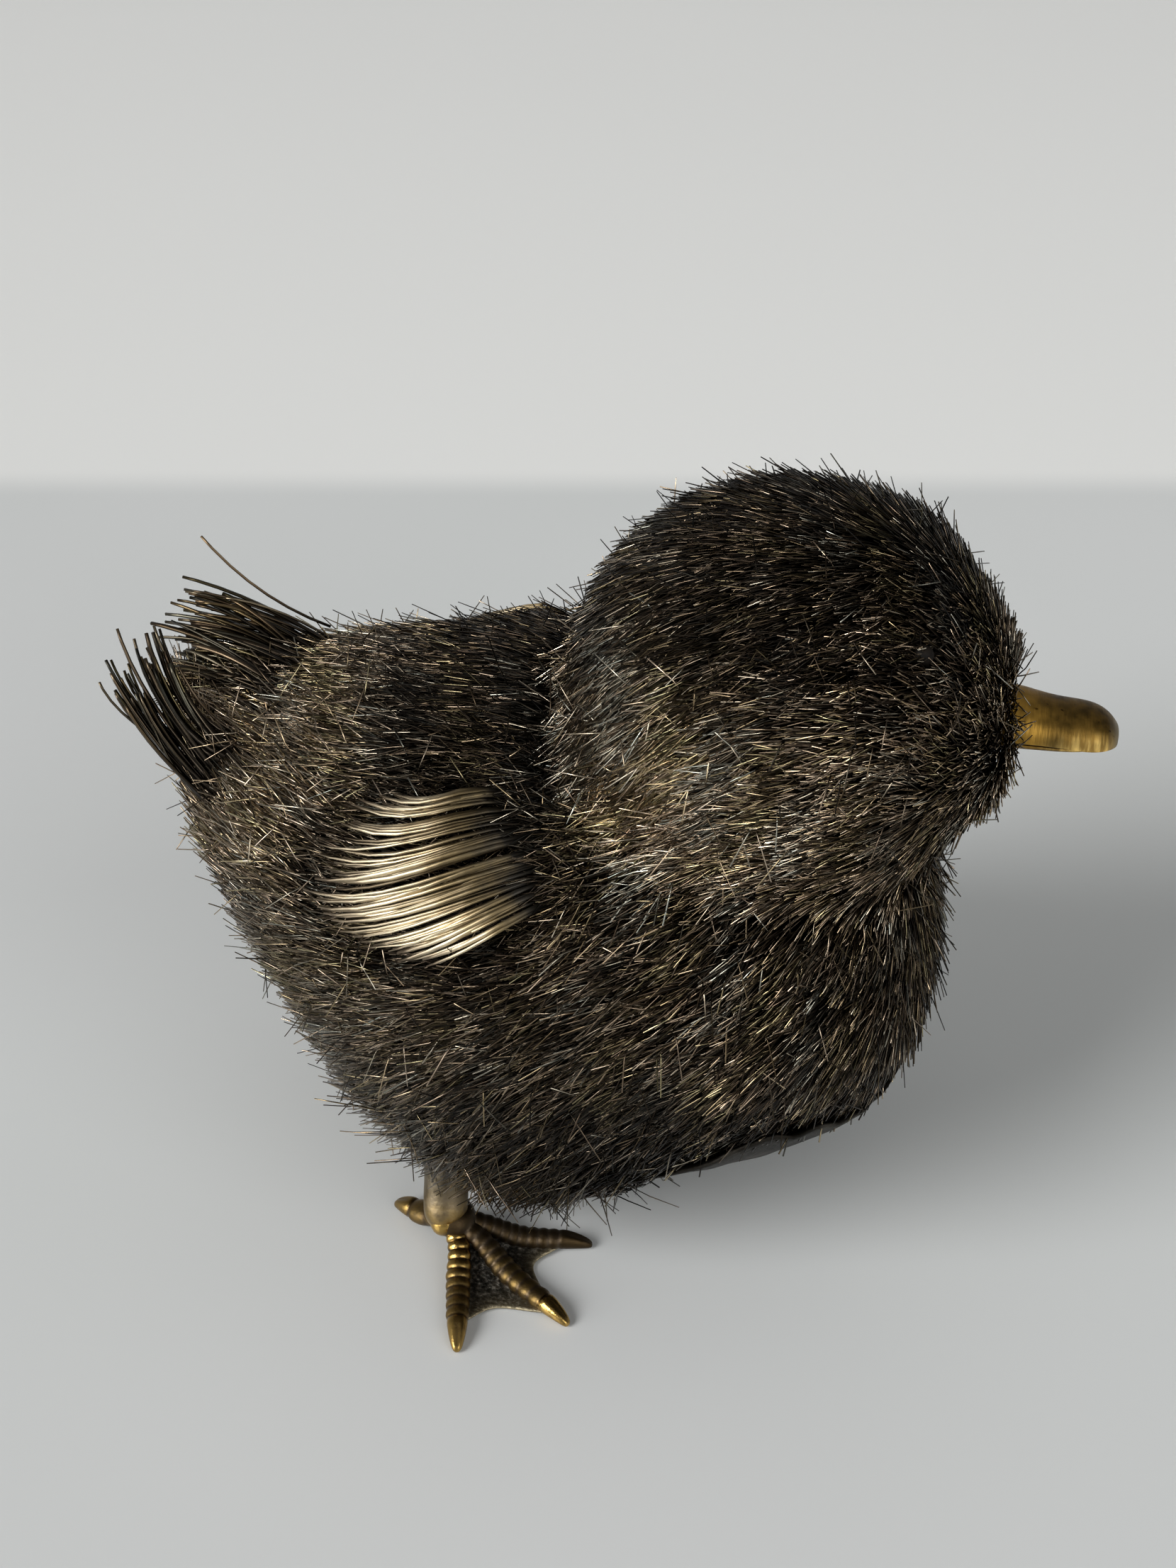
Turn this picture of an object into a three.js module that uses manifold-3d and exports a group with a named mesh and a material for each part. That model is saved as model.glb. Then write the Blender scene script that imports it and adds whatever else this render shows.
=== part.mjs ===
// Duckling figurine in oxidised silver wire with a gilt beak and gilt webbed feet.
// The body is a hollow raised shell in two halves with a round hollow head let into it. Strips of
// silver, cut into a fringe along one edge, are wound round both from the beak to the tail, each
// lying over the root of the next. Combs of longer wire make the wings and the tail.
// Millimetres, +Z up, +X towards the beak, +Y towards the duckling's left, the floor at Z = 0.
import * as THREE from "three";
import { mergeVertices } from "three/addons/utils/BufferGeometryUtils.js";
import Module from "manifold-3d";

const wasm = await Module();
wasm.setup();

// Driving dimensions

const SEAM = 0.3; // gap at a soldered seam
const WALL = 1.2; // sheet of the body and head shells
const BURR = 0.01; // pitch of the grid that a finished piece's corners lie on

const BODY = { length: 72.5, height: 53.5, width: 53, rear: -39, belly: 6.8 };
const HEAD = {
  length: 38.5,
  height: 38,
  width: 40,
  sink: 21.5, // depth of its underside below the top of the back
  lead: 5.2, // reach of its front beyond the chest
  collar: 2.4, // skirt that goes on inside the body
};

const FRINGE = {
  sheet: 0.5, // thickness of a strip
  rootLift: 0.4, // height of the soldered edge over the shell
  hemLift: 1.9, // height of the free edge over the shell
  overlap: 0.2, // share of a strip that lies over the next
  toothShare: 0.45, // depth of a tooth as a share of the strip's length
  toothWidth: 6.8,
  leastTeeth: 9,
  leastPiece: 12, // volume under which an offcut is left off
};
const BODY_COAT = { strips: 12, from: 0.035, to: 0.953 };
const HEAD_COAT = { strips: 8, from: 0.075, to: 0.93 };

const BELLY_PLATE = { behindChest: 18.5, length: 32, width: 33, rimWidth: 1.1, rimHeight: 0.9 };

const EYE = { radius: 1.3, t: 0.375, elevation: 48, lift: 0.9, well: 0.7 };

const BILL = {
  length: 10,
  halfWidth: 4.3,
  crown: 3.3, // height of the upper half over the gape
  keel: 1.4, // depth of the lower half under the gape
  undershot: 1.4, // how much shorter the lower half is
  tenon: 3.2, // length let into the head
  rise: 1.1, // gape over the front pole of the head
  droop: 5, // degrees
};

const FOOT = {
  middleToe: 17,
  outerToe: 14.8,
  innerToe: 14.6,
  hindToe: 9.2,
  spread: 40, // degrees between neighbouring toes
  toeRadius: 1.3,
  claw: 3.4,
  scutes: 5, // on a front toe
  web: 0.9,
  webReach: 0.8, // share of a toe that the web reaches
  ankle: 3.4, // height of the toes' root over the sole
  padRadius: 2.5,
};
const SHANK = { radius: 1.8, hipRadius: 2.7, tenon: 3.5 };
const RIGHT_LEG = { t: 0.61, elevation: -58, stride: 1.6, straddle: 3.2, heading: -35 };
const LEFT_LEG = { t: 0.54, elevation: -58, stride: 7.5, straddle: 3, heading: 20 };

const WING = { plumes: 13, width: 1.35, sheet: 0.4, rise: 1.1, backing: 2.4 };
const WING_ROOT = { upper: [0.56, 56], lower: [0.51, 30] }; // t and elevation
const WING_TIP = { upper: [0.68, 48], bend: [0.77, 14], lower: [0.58, 18] };

const TAIL = { strands: 10, width: 1.2, sheet: 0.5, reach: 9, climb: 8.5, backing: 2.2 };
const TAIL_ROOT = { upper: [0.8, 68], lower: [0.87, 24] };

const LEFT = 1;
const RIGHT = -1;
const TAU = Math.PI * 2;
const REACH = 200; // side of the blocks that halve or trim a piece
const { degToRad, lerp, clamp } = THREE.MathUtils;

// Solids: manifold-3d joins and cuts what three.js shapes

function solidFrom(geometry) {
  const bare = new THREE.BufferGeometry();
  bare.setAttribute("position", geometry.getAttribute("position").clone());
  if (geometry.index) bare.setIndex(geometry.index.clone());
  const merged = mergeVertices(bare, 1e-4);
  const faces = [];
  for (let i = 0; i < merged.index.count; i += 3) {
    const face = [0, 1, 2].map((j) => merged.index.getX(i + j));
    if (new Set(face).size === 3) faces.push(...face);
  }
  const mesh = new wasm.Mesh({
    numProp: 3,
    vertProperties: new Float32Array(merged.getAttribute("position").array),
    triVerts: new Uint32Array(faces),
  });
  return new wasm.Manifold(mesh);
}

function geometryFrom(solid) {
  const mesh = solid.getMesh();
  const geometry = new THREE.BufferGeometry();
  geometry.setAttribute("position", new THREE.BufferAttribute(mesh.vertProperties, 3));
  geometry.setIndex(new THREE.BufferAttribute(mesh.triVerts, 1));
  return geometry;
}

// The solid with its corners on a fine grid, which closes the slivers that cuts leave.
function deburred(solid) {
  const geometry = geometryFrom(solid);
  const corners = geometry.getAttribute("position");
  corners.array = corners.array.map((value) => Math.round(value / BURR) * BURR);
  return solidFrom(geometry).simplify(BURR);
}

// The largest piece of a solid, without the slivers that a cut leaves.
function mainPiece(solid) {
  return solid.decompose().reduce((best, piece) => (piece.volume() > best.volume() ? piece : best));
}

// Closed surface through rings of equally many points, capped by a fan at each end.
function loft(rings) {
  const count = rings[0].length;
  const positions = rings.flat().flatMap((p) => [p.x, p.y, p.z]);
  const index = [];
  for (let r = 0; r + 1 < rings.length; r++) {
    for (let j = 0; j < count; j++) {
      const k = (j + 1) % count;
      const [a, b, c, d] = [r * count + j, r * count + k, (r + 1) * count + j, (r + 1) * count + k];
      index.push(a, b, c, b, d, c);
    }
  }
  const last = (rings.length - 1) * count;
  for (let j = 1; j + 1 < count; j++) {
    index.push(0, j + 1, j, last, last + j, last + j + 1);
  }
  return facingOut(positions, index);
}

// Ring-shaped surface: rings of points that close on themselves both ways.
function hoop(rings) {
  const count = rings[0].length;
  const positions = rings.flat().flatMap((p) => [p.x, p.y, p.z]);
  const index = [];
  rings.forEach((_, r) => {
    const next = (r + 1) % rings.length;
    for (let j = 0; j < count; j++) {
      const k = (j + 1) % count;
      const [a, b, c, d] = [r * count + j, r * count + k, next * count + j, next * count + k];
      index.push(a, b, c, b, d, c);
    }
  });
  return facingOut(positions, index);
}

// Turns the faces round if the surface encloses a negative volume.
function facingOut(positions, index) {
  const corner = (i) => new THREE.Vector3().fromArray(positions, index[i] * 3);
  let volume = 0;
  for (let i = 0; i < index.length; i += 3) {
    volume += corner(i).dot(corner(i + 1).cross(corner(i + 2)));
  }
  if (volume < 0) index.reverse();
  const geometry = new THREE.BufferGeometry();
  geometry.setAttribute("position", new THREE.Float32BufferAttribute(positions, 3));
  geometry.setIndex(index);
  return geometry;
}

// Rounded forms: ellipses strung between an upper and a lower outline in the plane Y = 0

class RoundedForm {
  // A row of the outline is [upper x, upper z, lower x, lower z, half-width], in shares of the size.
  constructor(outline, size, rear, bottom) {
    const at = (x, z) => new THREE.Vector3(rear + x * size.length, 0, bottom + z * size.height);
    this.upper = new THREE.CatmullRomCurve3(outline.map((row) => at(row[0], row[1])));
    this.lower = new THREE.CatmullRomCurve3(outline.map((row) => at(row[2], row[3])));
    const spread = outline.map((row, i) => new THREE.Vector2(i, (row[4] * size.width) / 2));
    this.spread = new THREE.SplineCurve(spread);
  }

  middle(t) {
    return this.upper.getPoint(t).add(this.lower.getPoint(t)).multiplyScalar(0.5);
  }

  // t runs from the front pole to the rear one, and the angle from the left side over the top.
  point(t, angle) {
    const middle = this.middle(t);
    const rise = this.upper.getPoint(t).sub(middle).multiplyScalar(Math.sin(angle));
    const out = Math.max(0, this.spread.getPoint(t).y) * Math.cos(angle);
    return middle.add(rise).add(new THREE.Vector3(0, out, 0));
  }

  normal(t, angle) {
    const step = 1e-3;
    const inner = clamp(t, 2 * step, 1 - 2 * step);
    const along = this.point(inner + step, angle).sub(this.point(inner - step, angle));
    const round = this.point(inner, angle + step).sub(this.point(inner, angle - step));
    const normal = along.cross(round).normalize();
    const outward = this.point(inner, angle).sub(this.middle(0.5));
    return normal.dot(outward) < 0 ? normal.negate() : normal;
  }

  // The surface moved out by lift.
  skin(t, angle, lift) {
    return this.point(t, angle).addScaledVector(this.normal(t, angle), lift);
  }

  // Half the way round the form's section at t.
  halfGirth(t) {
    const high = this.upper.getPoint(t).distanceTo(this.lower.getPoint(t)) / 2;
    return (Math.PI * (high + this.spread.getPoint(t).y)) / 2;
  }

  // The whole form as a closed surface, moved out by lift.
  surface(lift, rings, sides) {
    const stack = [];
    for (let r = 0; r <= rings; r++) {
      const t = lerp(POLE, 1 - POLE, r / rings);
      stack.push(Array.from({ length: sides }, (_, j) => this.skin(t, (j / sides) * TAU, lift)));
    }
    return loft(stack);
  }
}

const POLE = 0.012; // where a form's first ring lies, just off its pole

const BODY_OUTLINE = [
  [1.0, 0.47, 1.0, 0.45, 0],
  [0.992, 0.62, 0.985, 0.32, 0.36],
  [0.95, 0.78, 0.93, 0.2, 0.67],
  [0.85, 0.92, 0.8, 0.09, 0.9],
  [0.69, 0.99, 0.64, 0.02, 1.0],
  [0.5, 1.0, 0.45, 0.01, 1.0],
  [0.32, 0.97, 0.29, 0.14, 0.88],
  [0.17, 0.94, 0.155, 0.36, 0.64],
  [0.07, 0.92, 0.05, 0.6, 0.37],
  [0.0, 0.86, 0.0, 0.83, 0],
];
const HEAD_OUTLINE = [
  [1.0, 0.49, 1.0, 0.46, 0],
  [0.99, 0.6, 0.955, 0.38, 0.36],
  [0.92, 0.77, 0.855, 0.25, 0.66],
  [0.78, 0.92, 0.73, 0.12, 0.88],
  [0.54, 1.0, 0.56, 0.02, 1.0],
  [0.29, 0.96, 0.37, 0.01, 1.0],
  [0.1, 0.82, 0.2, 0.07, 0.86],
  [0.01, 0.6, 0.08, 0.19, 0.58],
  [0.02, 0.38, 0.03, 0.36, 0],
];
const chest = BODY.rear + BODY.length;
const headRear = chest + HEAD.lead - HEAD.length;
const headChin = BODY.belly + BODY.height - HEAD.sink;
const body = new RoundedForm(BODY_OUTLINE, BODY, BODY.rear, BODY.belly);
const head = new RoundedForm(HEAD_OUTLINE, HEAD, headRear, headChin);

const bodySolid = (lift) => solidFrom(body.surface(lift, 14, 28));
const headSolid = (lift) => solidFrom(head.surface(lift, 11, 24));
const bodyHollow = (lift) => solidFrom(body.surface(lift, 9, 18));
const headHollow = (lift) => solidFrom(head.surface(lift, 8, 16));

// A place given by its side and its elevation above or below the form's middle, in degrees.
function onSide(form, side, t, elevation, lift) {
  const angle = degToRad(side === LEFT ? elevation : 180 - elevation);
  return { place: form.skin(t, angle, lift), normal: form.normal(t, angle) };
}

// Cutting blocks

function halfSpace(side) {
  const block = new THREE.BoxGeometry(REACH, REACH, REACH);
  return solidFrom(block.translate(0, side * (REACH / 2 + SEAM / 2), 0));
}

function underFloor() {
  const block = new THREE.BoxGeometry(REACH, REACH, REACH);
  return solidFrom(block.translate(0, 0, -REACH / 2));
}

// Upright oval prism under the belly, grown by margin all round.
function bellyPrism(margin) {
  const top = BODY.belly + BODY.height / 2;
  const drum = new THREE.CylinderGeometry(1, 1, 2 * top, 24).rotateX(Math.PI / 2);
  drum.scale(BELLY_PLATE.length / 2 + margin, BELLY_PLATE.width / 2 + margin, 1);
  return solidFrom(drum.translate(chest - BELLY_PLATE.behindChest, 0, 0));
}

function ball(place, radius) {
  return solidFrom(new THREE.SphereGeometry(radius, 12, 8).translate(...place.toArray()));
}

// Legs: shank, ringed toes, claws and web in one casting, flat under the sole

const level = (x, y, z) => new THREE.Vector3(x, y, z);

function disc(centre, radius, sides) {
  return Array.from({ length: sides }, (_, j) => {
    const turn = (j / sides) * TAU;
    return centre.clone().add(level(radius * Math.cos(turn), radius * Math.sin(turn), 0));
  });
}

function legPlaces(leg, side) {
  const entry = onSide(body, side, leg.t, leg.elevation, 0).place;
  const ankle = level(entry.x + leg.stride, entry.y + side * leg.straddle, FOOT.ankle);
  const hip = entry.clone().add(level(0, 0, WALL + SHANK.tenon));
  return { hip, entry, ankle };
}

function shank(leg, side, margin) {
  const { hip, entry, ankle } = legPlaces(leg, side);
  const knee = entry.clone().lerp(ankle, 0.55);
  const foot = ankle.clone().setZ(FOOT.ankle * 0.4);
  const stations = [
    [hip, SHANK.hipRadius],
    [entry, SHANK.hipRadius],
    [knee, SHANK.radius],
    [ankle, SHANK.radius * 1.2],
    [foot, SHANK.radius],
  ];
  return solidFrom(loft(stations.map(([centre, radius]) => disc(centre, radius + margin, 12))));
}

const TOE_SIDES = 6;

// A toe from its root over a knuckle to the floor, ringed with scutes, with a hooked claw.
function toe(root, heading, length, scutes) {
  const ahead = level(Math.cos(heading), Math.sin(heading), 0);
  const aside = level(-Math.sin(heading), Math.cos(heading), 0);
  const radius = FOOT.toeRadius;
  const at = (run, z) => root.clone().addScaledVector(ahead, run).setZ(z);
  const shaft = new THREE.CatmullRomCurve3([
    root,
    at(length * 0.22, radius * 1.45),
    at(length * 0.5, radius * 0.9),
    at(length - FOOT.claw, radius * 0.85),
  ]);
  const claw = new THREE.QuadraticBezierCurve3(
    shaft.getPoint(1),
    at(length - FOOT.claw * 0.4, radius * 1.25),
    at(length, radius * 0.2),
  );
  const section = (curve, u, size) => {
    const up = curve.getTangent(u).cross(aside).negate();
    return Array.from({ length: TOE_SIDES }, (_, j) => {
      const turn = (j / TOE_SIDES) * TAU;
      const out = aside.clone().multiplyScalar(Math.cos(turn) * size);
      return curve.getPoint(u).add(out).addScaledVector(up, Math.sin(turn) * size);
    });
  };
  const rings = [];
  for (let i = 0; i <= 2 * scutes; i++) {
    const u = i / (2 * scutes);
    const groove = i % 2 ? 1 : 0.84;
    rings.push(section(shaft, u, radius * groove * lerp(1.15, 0.85, u)));
  }
  for (const [u, share] of [[0.15, 0.8], [0.55, 0.52], [1, 0.14]]) {
    rings.push(section(claw, u, radius * share));
  }
  return solidFrom(loft(rings));
}

// Web between two neighbouring toes, its front edge drawn in towards the ankle.
function web(root, heading, length, nextHeading, nextLength) {
  const at = (angle, run) => new THREE.Vector2(root.x + run * Math.cos(angle), root.y + run * Math.sin(angle));
  const start = at(heading, length * FOOT.webReach);
  const end = at(nextHeading, nextLength * FOOT.webReach);
  const draw = at((heading + nextHeading) / 2, Math.min(length, nextLength) * FOOT.webReach * 0.72);
  const outline = new THREE.Shape([new THREE.Vector2(root.x, root.y), start]);
  outline.quadraticCurveTo(draw.x, draw.y, end.x, end.y);
  const sheet = new THREE.ExtrudeGeometry(outline, {
    depth: 2 * FOOT.web,
    bevelEnabled: false,
    curveSegments: 5,
  });
  return solidFrom(sheet.translate(0, 0, -FOOT.web));
}

function legCasting(leg, side) {
  const { ankle } = legPlaces(leg, side);
  const middle = degToRad(leg.heading);
  const spread = degToRad(FOOT.spread) * side;
  const front = [
    [middle + spread, FOOT.outerToe],
    [middle, FOOT.middleToe],
    [middle - spread, FOOT.innerToe],
  ];
  const pieces = [shank(leg, side, 0), toe(ankle, middle + Math.PI, FOOT.hindToe, 3)];
  const pad = new THREE.CylinderGeometry(SHANK.radius, FOOT.padRadius, FOOT.ankle, 12);
  pieces.push(solidFrom(pad.rotateX(Math.PI / 2).translate(ankle.x, ankle.y, FOOT.ankle / 2)));
  front.forEach(([heading, length], i) => {
    pieces.push(toe(ankle, heading, length, FOOT.scutes));
    if (i > 0) pieces.push(web(ankle, ...front[i - 1], heading, length));
  });
  const casting = pieces.reduce((whole, piece) => whole.add(piece));
  return casting.subtract(underFloor());
}

// Bill: two halves that meet across the gape, let into the front of the head

// A row is [share of the length, share of the half-width, share of the height].
const UPPER_BILL = [
  [0, 1, 1],
  [0.2, 0.93, 0.82],
  [0.45, 0.87, 0.62],
  [0.7, 0.89, 0.5],
  [0.88, 0.76, 0.46],
  [0.97, 0.5, 0.36],
  [1, 0.26, 0.2],
];
const LOWER_BILL = [
  [0, 0.92, 1],
  [0.3, 0.82, 0.88],
  [0.65, 0.76, 0.7],
  [0.9, 0.58, 0.55],
  [1, 0.24, 0.25],
];

function billHalf(rows, length, height, margin) {
  const facing = Math.sign(height);
  const arch = 10;
  const section = (x, wide, high) =>
    Array.from({ length: arch + 1 }, (_, j) => {
      const turn = (j / arch) * Math.PI;
      const across = (wide + margin) * Math.cos(turn);
      const z = facing * (SEAM / 2 - margin) + (high + facing * 2 * margin) * Math.sin(turn);
      return level(x, across, z);
    });
  const [, wideBase, highBase] = rows[0];
  const root = -BILL.tenon - margin;
  const rings = [section(root, wideBase * BILL.halfWidth * 0.8, highBase * height * 0.8)];
  for (const [along, wide, high] of rows) {
    rings.push(section(along * length, wide * BILL.halfWidth, high * height));
  }
  const half = loft(rings).rotateY(degToRad(BILL.droop));
  const base = head.middle(0);
  return solidFrom(half.translate(base.x, 0, base.z + BILL.rise));
}

const billUpper = (margin) => billHalf(UPPER_BILL, BILL.length, BILL.crown, margin);
const billLower = (margin) => billHalf(LOWER_BILL, BILL.length - BILL.undershot, -BILL.keel, margin);

// Coat: strips of sheet wound round a form, each cut into teeth along its rear edge

function fringeStrip(form, rootT, hemT) {
  const girth = 2 * form.halfGirth((rootT + hemT) / 2);
  const teeth = Math.max(FRINGE.leastTeeth, Math.round(girth / FRINGE.toothWidth));
  const valleyT = lerp(hemT, rootT, FRINGE.toothShare);
  const rings = [];
  for (let j = 0; j < 2 * teeth; j++) {
    const angle = (j / (2 * teeth)) * TAU;
    const endT = j % 2 ? valleyT : hemT;
    const endLift = lerp(FRINGE.rootLift, FRINGE.hemLift, (endT - rootT) / (hemT - rootT));
    rings.push([
      form.skin(rootT, angle, FRINGE.rootLift),
      form.skin(rootT, angle, FRINGE.rootLift + FRINGE.sheet),
      form.skin(endT, angle, endLift + FRINGE.sheet),
      form.skin(endT, angle, endLift),
    ]);
  }
  return solidFrom(hoop(rings));
}

// A strip that a clearance cuts in two is laid as a left and a right length.
function addCoat(name, form, layout, clearance) {
  const pitch = (layout.to - layout.from) / layout.strips;
  for (let i = 0; i < layout.strips; i++) {
    const root = layout.from + i * pitch;
    const strip = fringeStrip(form, root, root + pitch / (1 - FRINGE.overlap)).subtract(clearance);
    const lengths = strip.decompose().filter((length) => length.volume() > FRINGE.leastPiece);
    for (const length of lengths) {
      const { min, max } = length.boundingBox();
      const side = min[1] + max[1] > 0 ? "left" : "right";
      const number = String(i + 1).padStart(2, "0");
      add(`${name}_${number}${lengths.length > 1 ? `_${side}` : ""}`, length, SILVER);
    }
  }
}

// Combs: flat wires side by side on a band

// Flat wire along a line of places, each with the normal that its flat faces, narrower at its tip.
function flatWire(line, width, sheet, tipShare) {
  const rings = line.map(({ place, normal }, i) => {
    const before = line[Math.max(0, i - 1)].place;
    const after = line[Math.min(line.length - 1, i + 1)].place;
    const along = after.clone().sub(before).normalize();
    const half = (width / 2) * lerp(1, tipShare, i / (line.length - 1));
    const across = along.clone().cross(normal).normalize().multiplyScalar(half);
    const thick = across.clone().cross(along).setLength(sheet);
    return [
      place.clone().sub(across),
      place.clone().add(across),
      place.clone().add(across).add(thick),
      place.clone().sub(across).add(thick),
    ];
  });
  return solidFrom(loft(rings));
}

const coatLift = FRINGE.hemLift + FRINGE.sheet;
const overCoat = coatLift + SEAM;

// Band under the roots of a comb, along a line of [t, elevation].
function band(side, root, width, sheet) {
  const line = [-0.06, 0.3, 0.7, 1.06].map((u) => {
    const t = lerp(root.upper[0], root.lower[0], u);
    return onSide(body, side, t, lerp(root.upper[1], root.lower[1], u), overCoat);
  });
  return flatWire(line, width, sheet, 1);
}

function wing(side) {
  const pair = ([t, elevation]) => new THREE.Vector2(t, elevation);
  const roots = new THREE.LineCurve(pair(WING_ROOT.upper), pair(WING_ROOT.lower));
  const tips = new THREE.QuadraticBezierCurve(
    pair(WING_TIP.upper),
    pair(WING_TIP.bend),
    pair(WING_TIP.lower),
  );
  let comb = band(side, WING_ROOT, WING.backing, WING.sheet);
  for (let i = 0; i < WING.plumes; i++) {
    const u = i / (WING.plumes - 1);
    const line = [0, 0.5, 1].map((run) => {
      const at = roots.getPoint(u).lerp(tips.getPoint(u), run);
      return onSide(body, side, at.x, at.y, overCoat + WING.rise * run);
    });
    comb = comb.add(flatWire(line, WING.width, WING.sheet, 0.55));
  }
  return comb;
}

function tail(side) {
  let comb = band(side, TAIL_ROOT, TAIL.backing, TAIL.sheet);
  for (let i = 0; i < TAIL.strands; i++) {
    const u = i / (TAIL.strands - 1);
    const t = lerp(TAIL_ROOT.upper[0], TAIL_ROOT.lower[0], u);
    const elevation = lerp(TAIL_ROOT.upper[1], TAIL_ROOT.lower[1], u);
    const root = onSide(body, side, t, elevation, overCoat);
    const further = onSide(body, side, t + 0.02, elevation, overCoat);
    const rearward = further.place.sub(root.place).normalize();
    const length = TAIL.reach * (1 - 0.18 * Math.cos(i * 2.4));
    const bend = root.place.clone().addScaledVector(rearward, length * 0.5);
    const tip = root.place.clone().add(level(-length, -side * u * 2, TAIL.climb * lerp(0.5, 1, u)));
    const curve = new THREE.QuadraticBezierCurve3(root.place, bend, tip);
    const line = [0, 0.3, 0.65, 1].map((run) => ({ place: curve.getPoint(run), normal: root.normal }));
    comb = comb.add(flatWire(line, TAIL.width, TAIL.sheet, 0.5));
  }
  return comb;
}

// Assembly

const SILVER = { color: 0x4a443c, roughness: 0.42, metalness: 1 };
const PALE_SILVER = { color: 0x8d877a, roughness: 0.5, metalness: 1 };
const BRIGHT_WIRE = { color: 0xb9a882, roughness: 0.3, metalness: 1 };
const GILT = { color: 0xb98a35, roughness: 0.28, metalness: 1 };
const DARK_GLASS = { color: 0x0b0a09, roughness: 0.05, metalness: 0 };

const duckling = new THREE.Group();

function add(name, solid, finish) {
  const geometry = geometryFrom(deburred(solid));
  const mesh = new THREE.Mesh(geometry, new THREE.MeshStandardMaterial(finish));
  mesh.name = name;
  duckling.add(mesh);
}

const eyePlace = (side) => onSide(head, side, EYE.t, EYE.elevation, EYE.lift).place;
const pegs = shank(LEFT_LEG, LEFT, SEAM).add(shank(RIGHT_LEG, RIGHT, SEAM));
const billClearance = billUpper(SEAM).add(billLower(SEAM));

const bodyShell = bodySolid(0)
  .subtract(bodyHollow(-WALL))
  .subtract(headSolid(SEAM))
  .subtract(bellyPrism(SEAM))
  .subtract(pegs);
add("body_shell_left", mainPiece(bodyShell.intersect(halfSpace(LEFT))), SILVER);
add("body_shell_right", mainPiece(bodyShell.intersect(halfSpace(RIGHT))), SILVER);

const headShell = headSolid(0)
  .subtract(headHollow(-WALL))
  .subtract(bodyHollow(-WALL - HEAD.collar))
  .subtract(ball(eyePlace(LEFT), EYE.radius + SEAM))
  .subtract(ball(eyePlace(RIGHT), EYE.radius + SEAM))
  .subtract(billClearance);
add("head_shell", mainPiece(headShell), SILVER);

const plateField = bellyPrism(-BELLY_PLATE.rimWidth).subtract(bodySolid(0));
const bellyPlate = bodySolid(BELLY_PLATE.rimHeight)
  .subtract(bodyHollow(-WALL))
  .intersect(bellyPrism(0))
  .subtract(plateField);
add("belly_plate", mainPiece(bellyPlate), PALE_SILVER);

add("bill_upper", billUpper(0), GILT);
add("bill_lower", billLower(0), GILT);
add("eye_left", ball(eyePlace(LEFT), EYE.radius), DARK_GLASS);
add("eye_right", ball(eyePlace(RIGHT), EYE.radius), DARK_GLASS);
add("leg_left", mainPiece(legCasting(LEFT_LEG, LEFT)), GILT);
add("leg_right", mainPiece(legCasting(RIGHT_LEG, RIGHT)), GILT);

const bodyClearance = headSolid(coatLift + 2 * SEAM).add(bellyPrism(SEAM)).add(pegs);
const headClearance = bodySolid(SEAM)
  .add(ball(eyePlace(LEFT), EYE.radius + EYE.well))
  .add(ball(eyePlace(RIGHT), EYE.radius + EYE.well))
  .add(billClearance);
addCoat("body_fringe", body, BODY_COAT, bodyClearance);
addCoat("head_fringe", head, HEAD_COAT, headClearance);

add("wing_left", wing(LEFT), BRIGHT_WIRE);
add("wing_right", wing(RIGHT), BRIGHT_WIRE);
add("tail_left", tail(LEFT), SILVER);
add("tail_right", tail(RIGHT), SILVER);

// The origin lies on the floor under the middle of the whole figure.
const middle = new THREE.Box3().setFromObject(duckling).getCenter(new THREE.Vector3());
duckling.position.set(-middle.x, -middle.y, 0);

export default duckling;
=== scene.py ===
import math

import bmesh
import bpy
import numpy as np
from mathutils import Matrix, Vector


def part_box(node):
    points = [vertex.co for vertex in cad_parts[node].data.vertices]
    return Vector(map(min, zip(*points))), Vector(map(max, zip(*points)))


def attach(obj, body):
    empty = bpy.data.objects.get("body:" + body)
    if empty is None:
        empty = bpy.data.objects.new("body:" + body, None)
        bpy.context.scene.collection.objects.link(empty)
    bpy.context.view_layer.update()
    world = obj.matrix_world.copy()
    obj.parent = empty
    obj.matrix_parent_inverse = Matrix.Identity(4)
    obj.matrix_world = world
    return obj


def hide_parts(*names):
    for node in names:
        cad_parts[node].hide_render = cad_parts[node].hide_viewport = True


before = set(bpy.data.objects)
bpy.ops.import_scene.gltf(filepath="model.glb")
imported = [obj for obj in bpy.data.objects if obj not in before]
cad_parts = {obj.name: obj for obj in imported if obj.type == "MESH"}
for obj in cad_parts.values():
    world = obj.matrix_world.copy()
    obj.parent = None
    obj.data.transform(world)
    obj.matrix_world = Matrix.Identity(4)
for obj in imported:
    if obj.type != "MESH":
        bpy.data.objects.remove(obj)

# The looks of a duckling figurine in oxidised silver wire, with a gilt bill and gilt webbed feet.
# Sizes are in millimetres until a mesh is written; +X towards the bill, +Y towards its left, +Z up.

MM = 0.001
RNG = np.random.default_rng(41)
LEFT = 1
RIGHT = -1
SIDES = {"left": LEFT, "right": RIGHT}
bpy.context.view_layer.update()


# The two rounded forms that the shells, the coat, the wings and the tail follow

BODY = {"length": 72.5, "height": 53.5, "width": 53.0, "rear": -40.57, "bottom": 6.8}
HEAD = {"length": 38.5, "height": 38.0, "width": 40.0, "sink": 21.5, "lead": 5.2}
HEAD["rear"] = BODY["rear"] + BODY["length"] + HEAD["lead"] - HEAD["length"]
HEAD["bottom"] = BODY["bottom"] + BODY["height"] - HEAD["sink"]

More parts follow.
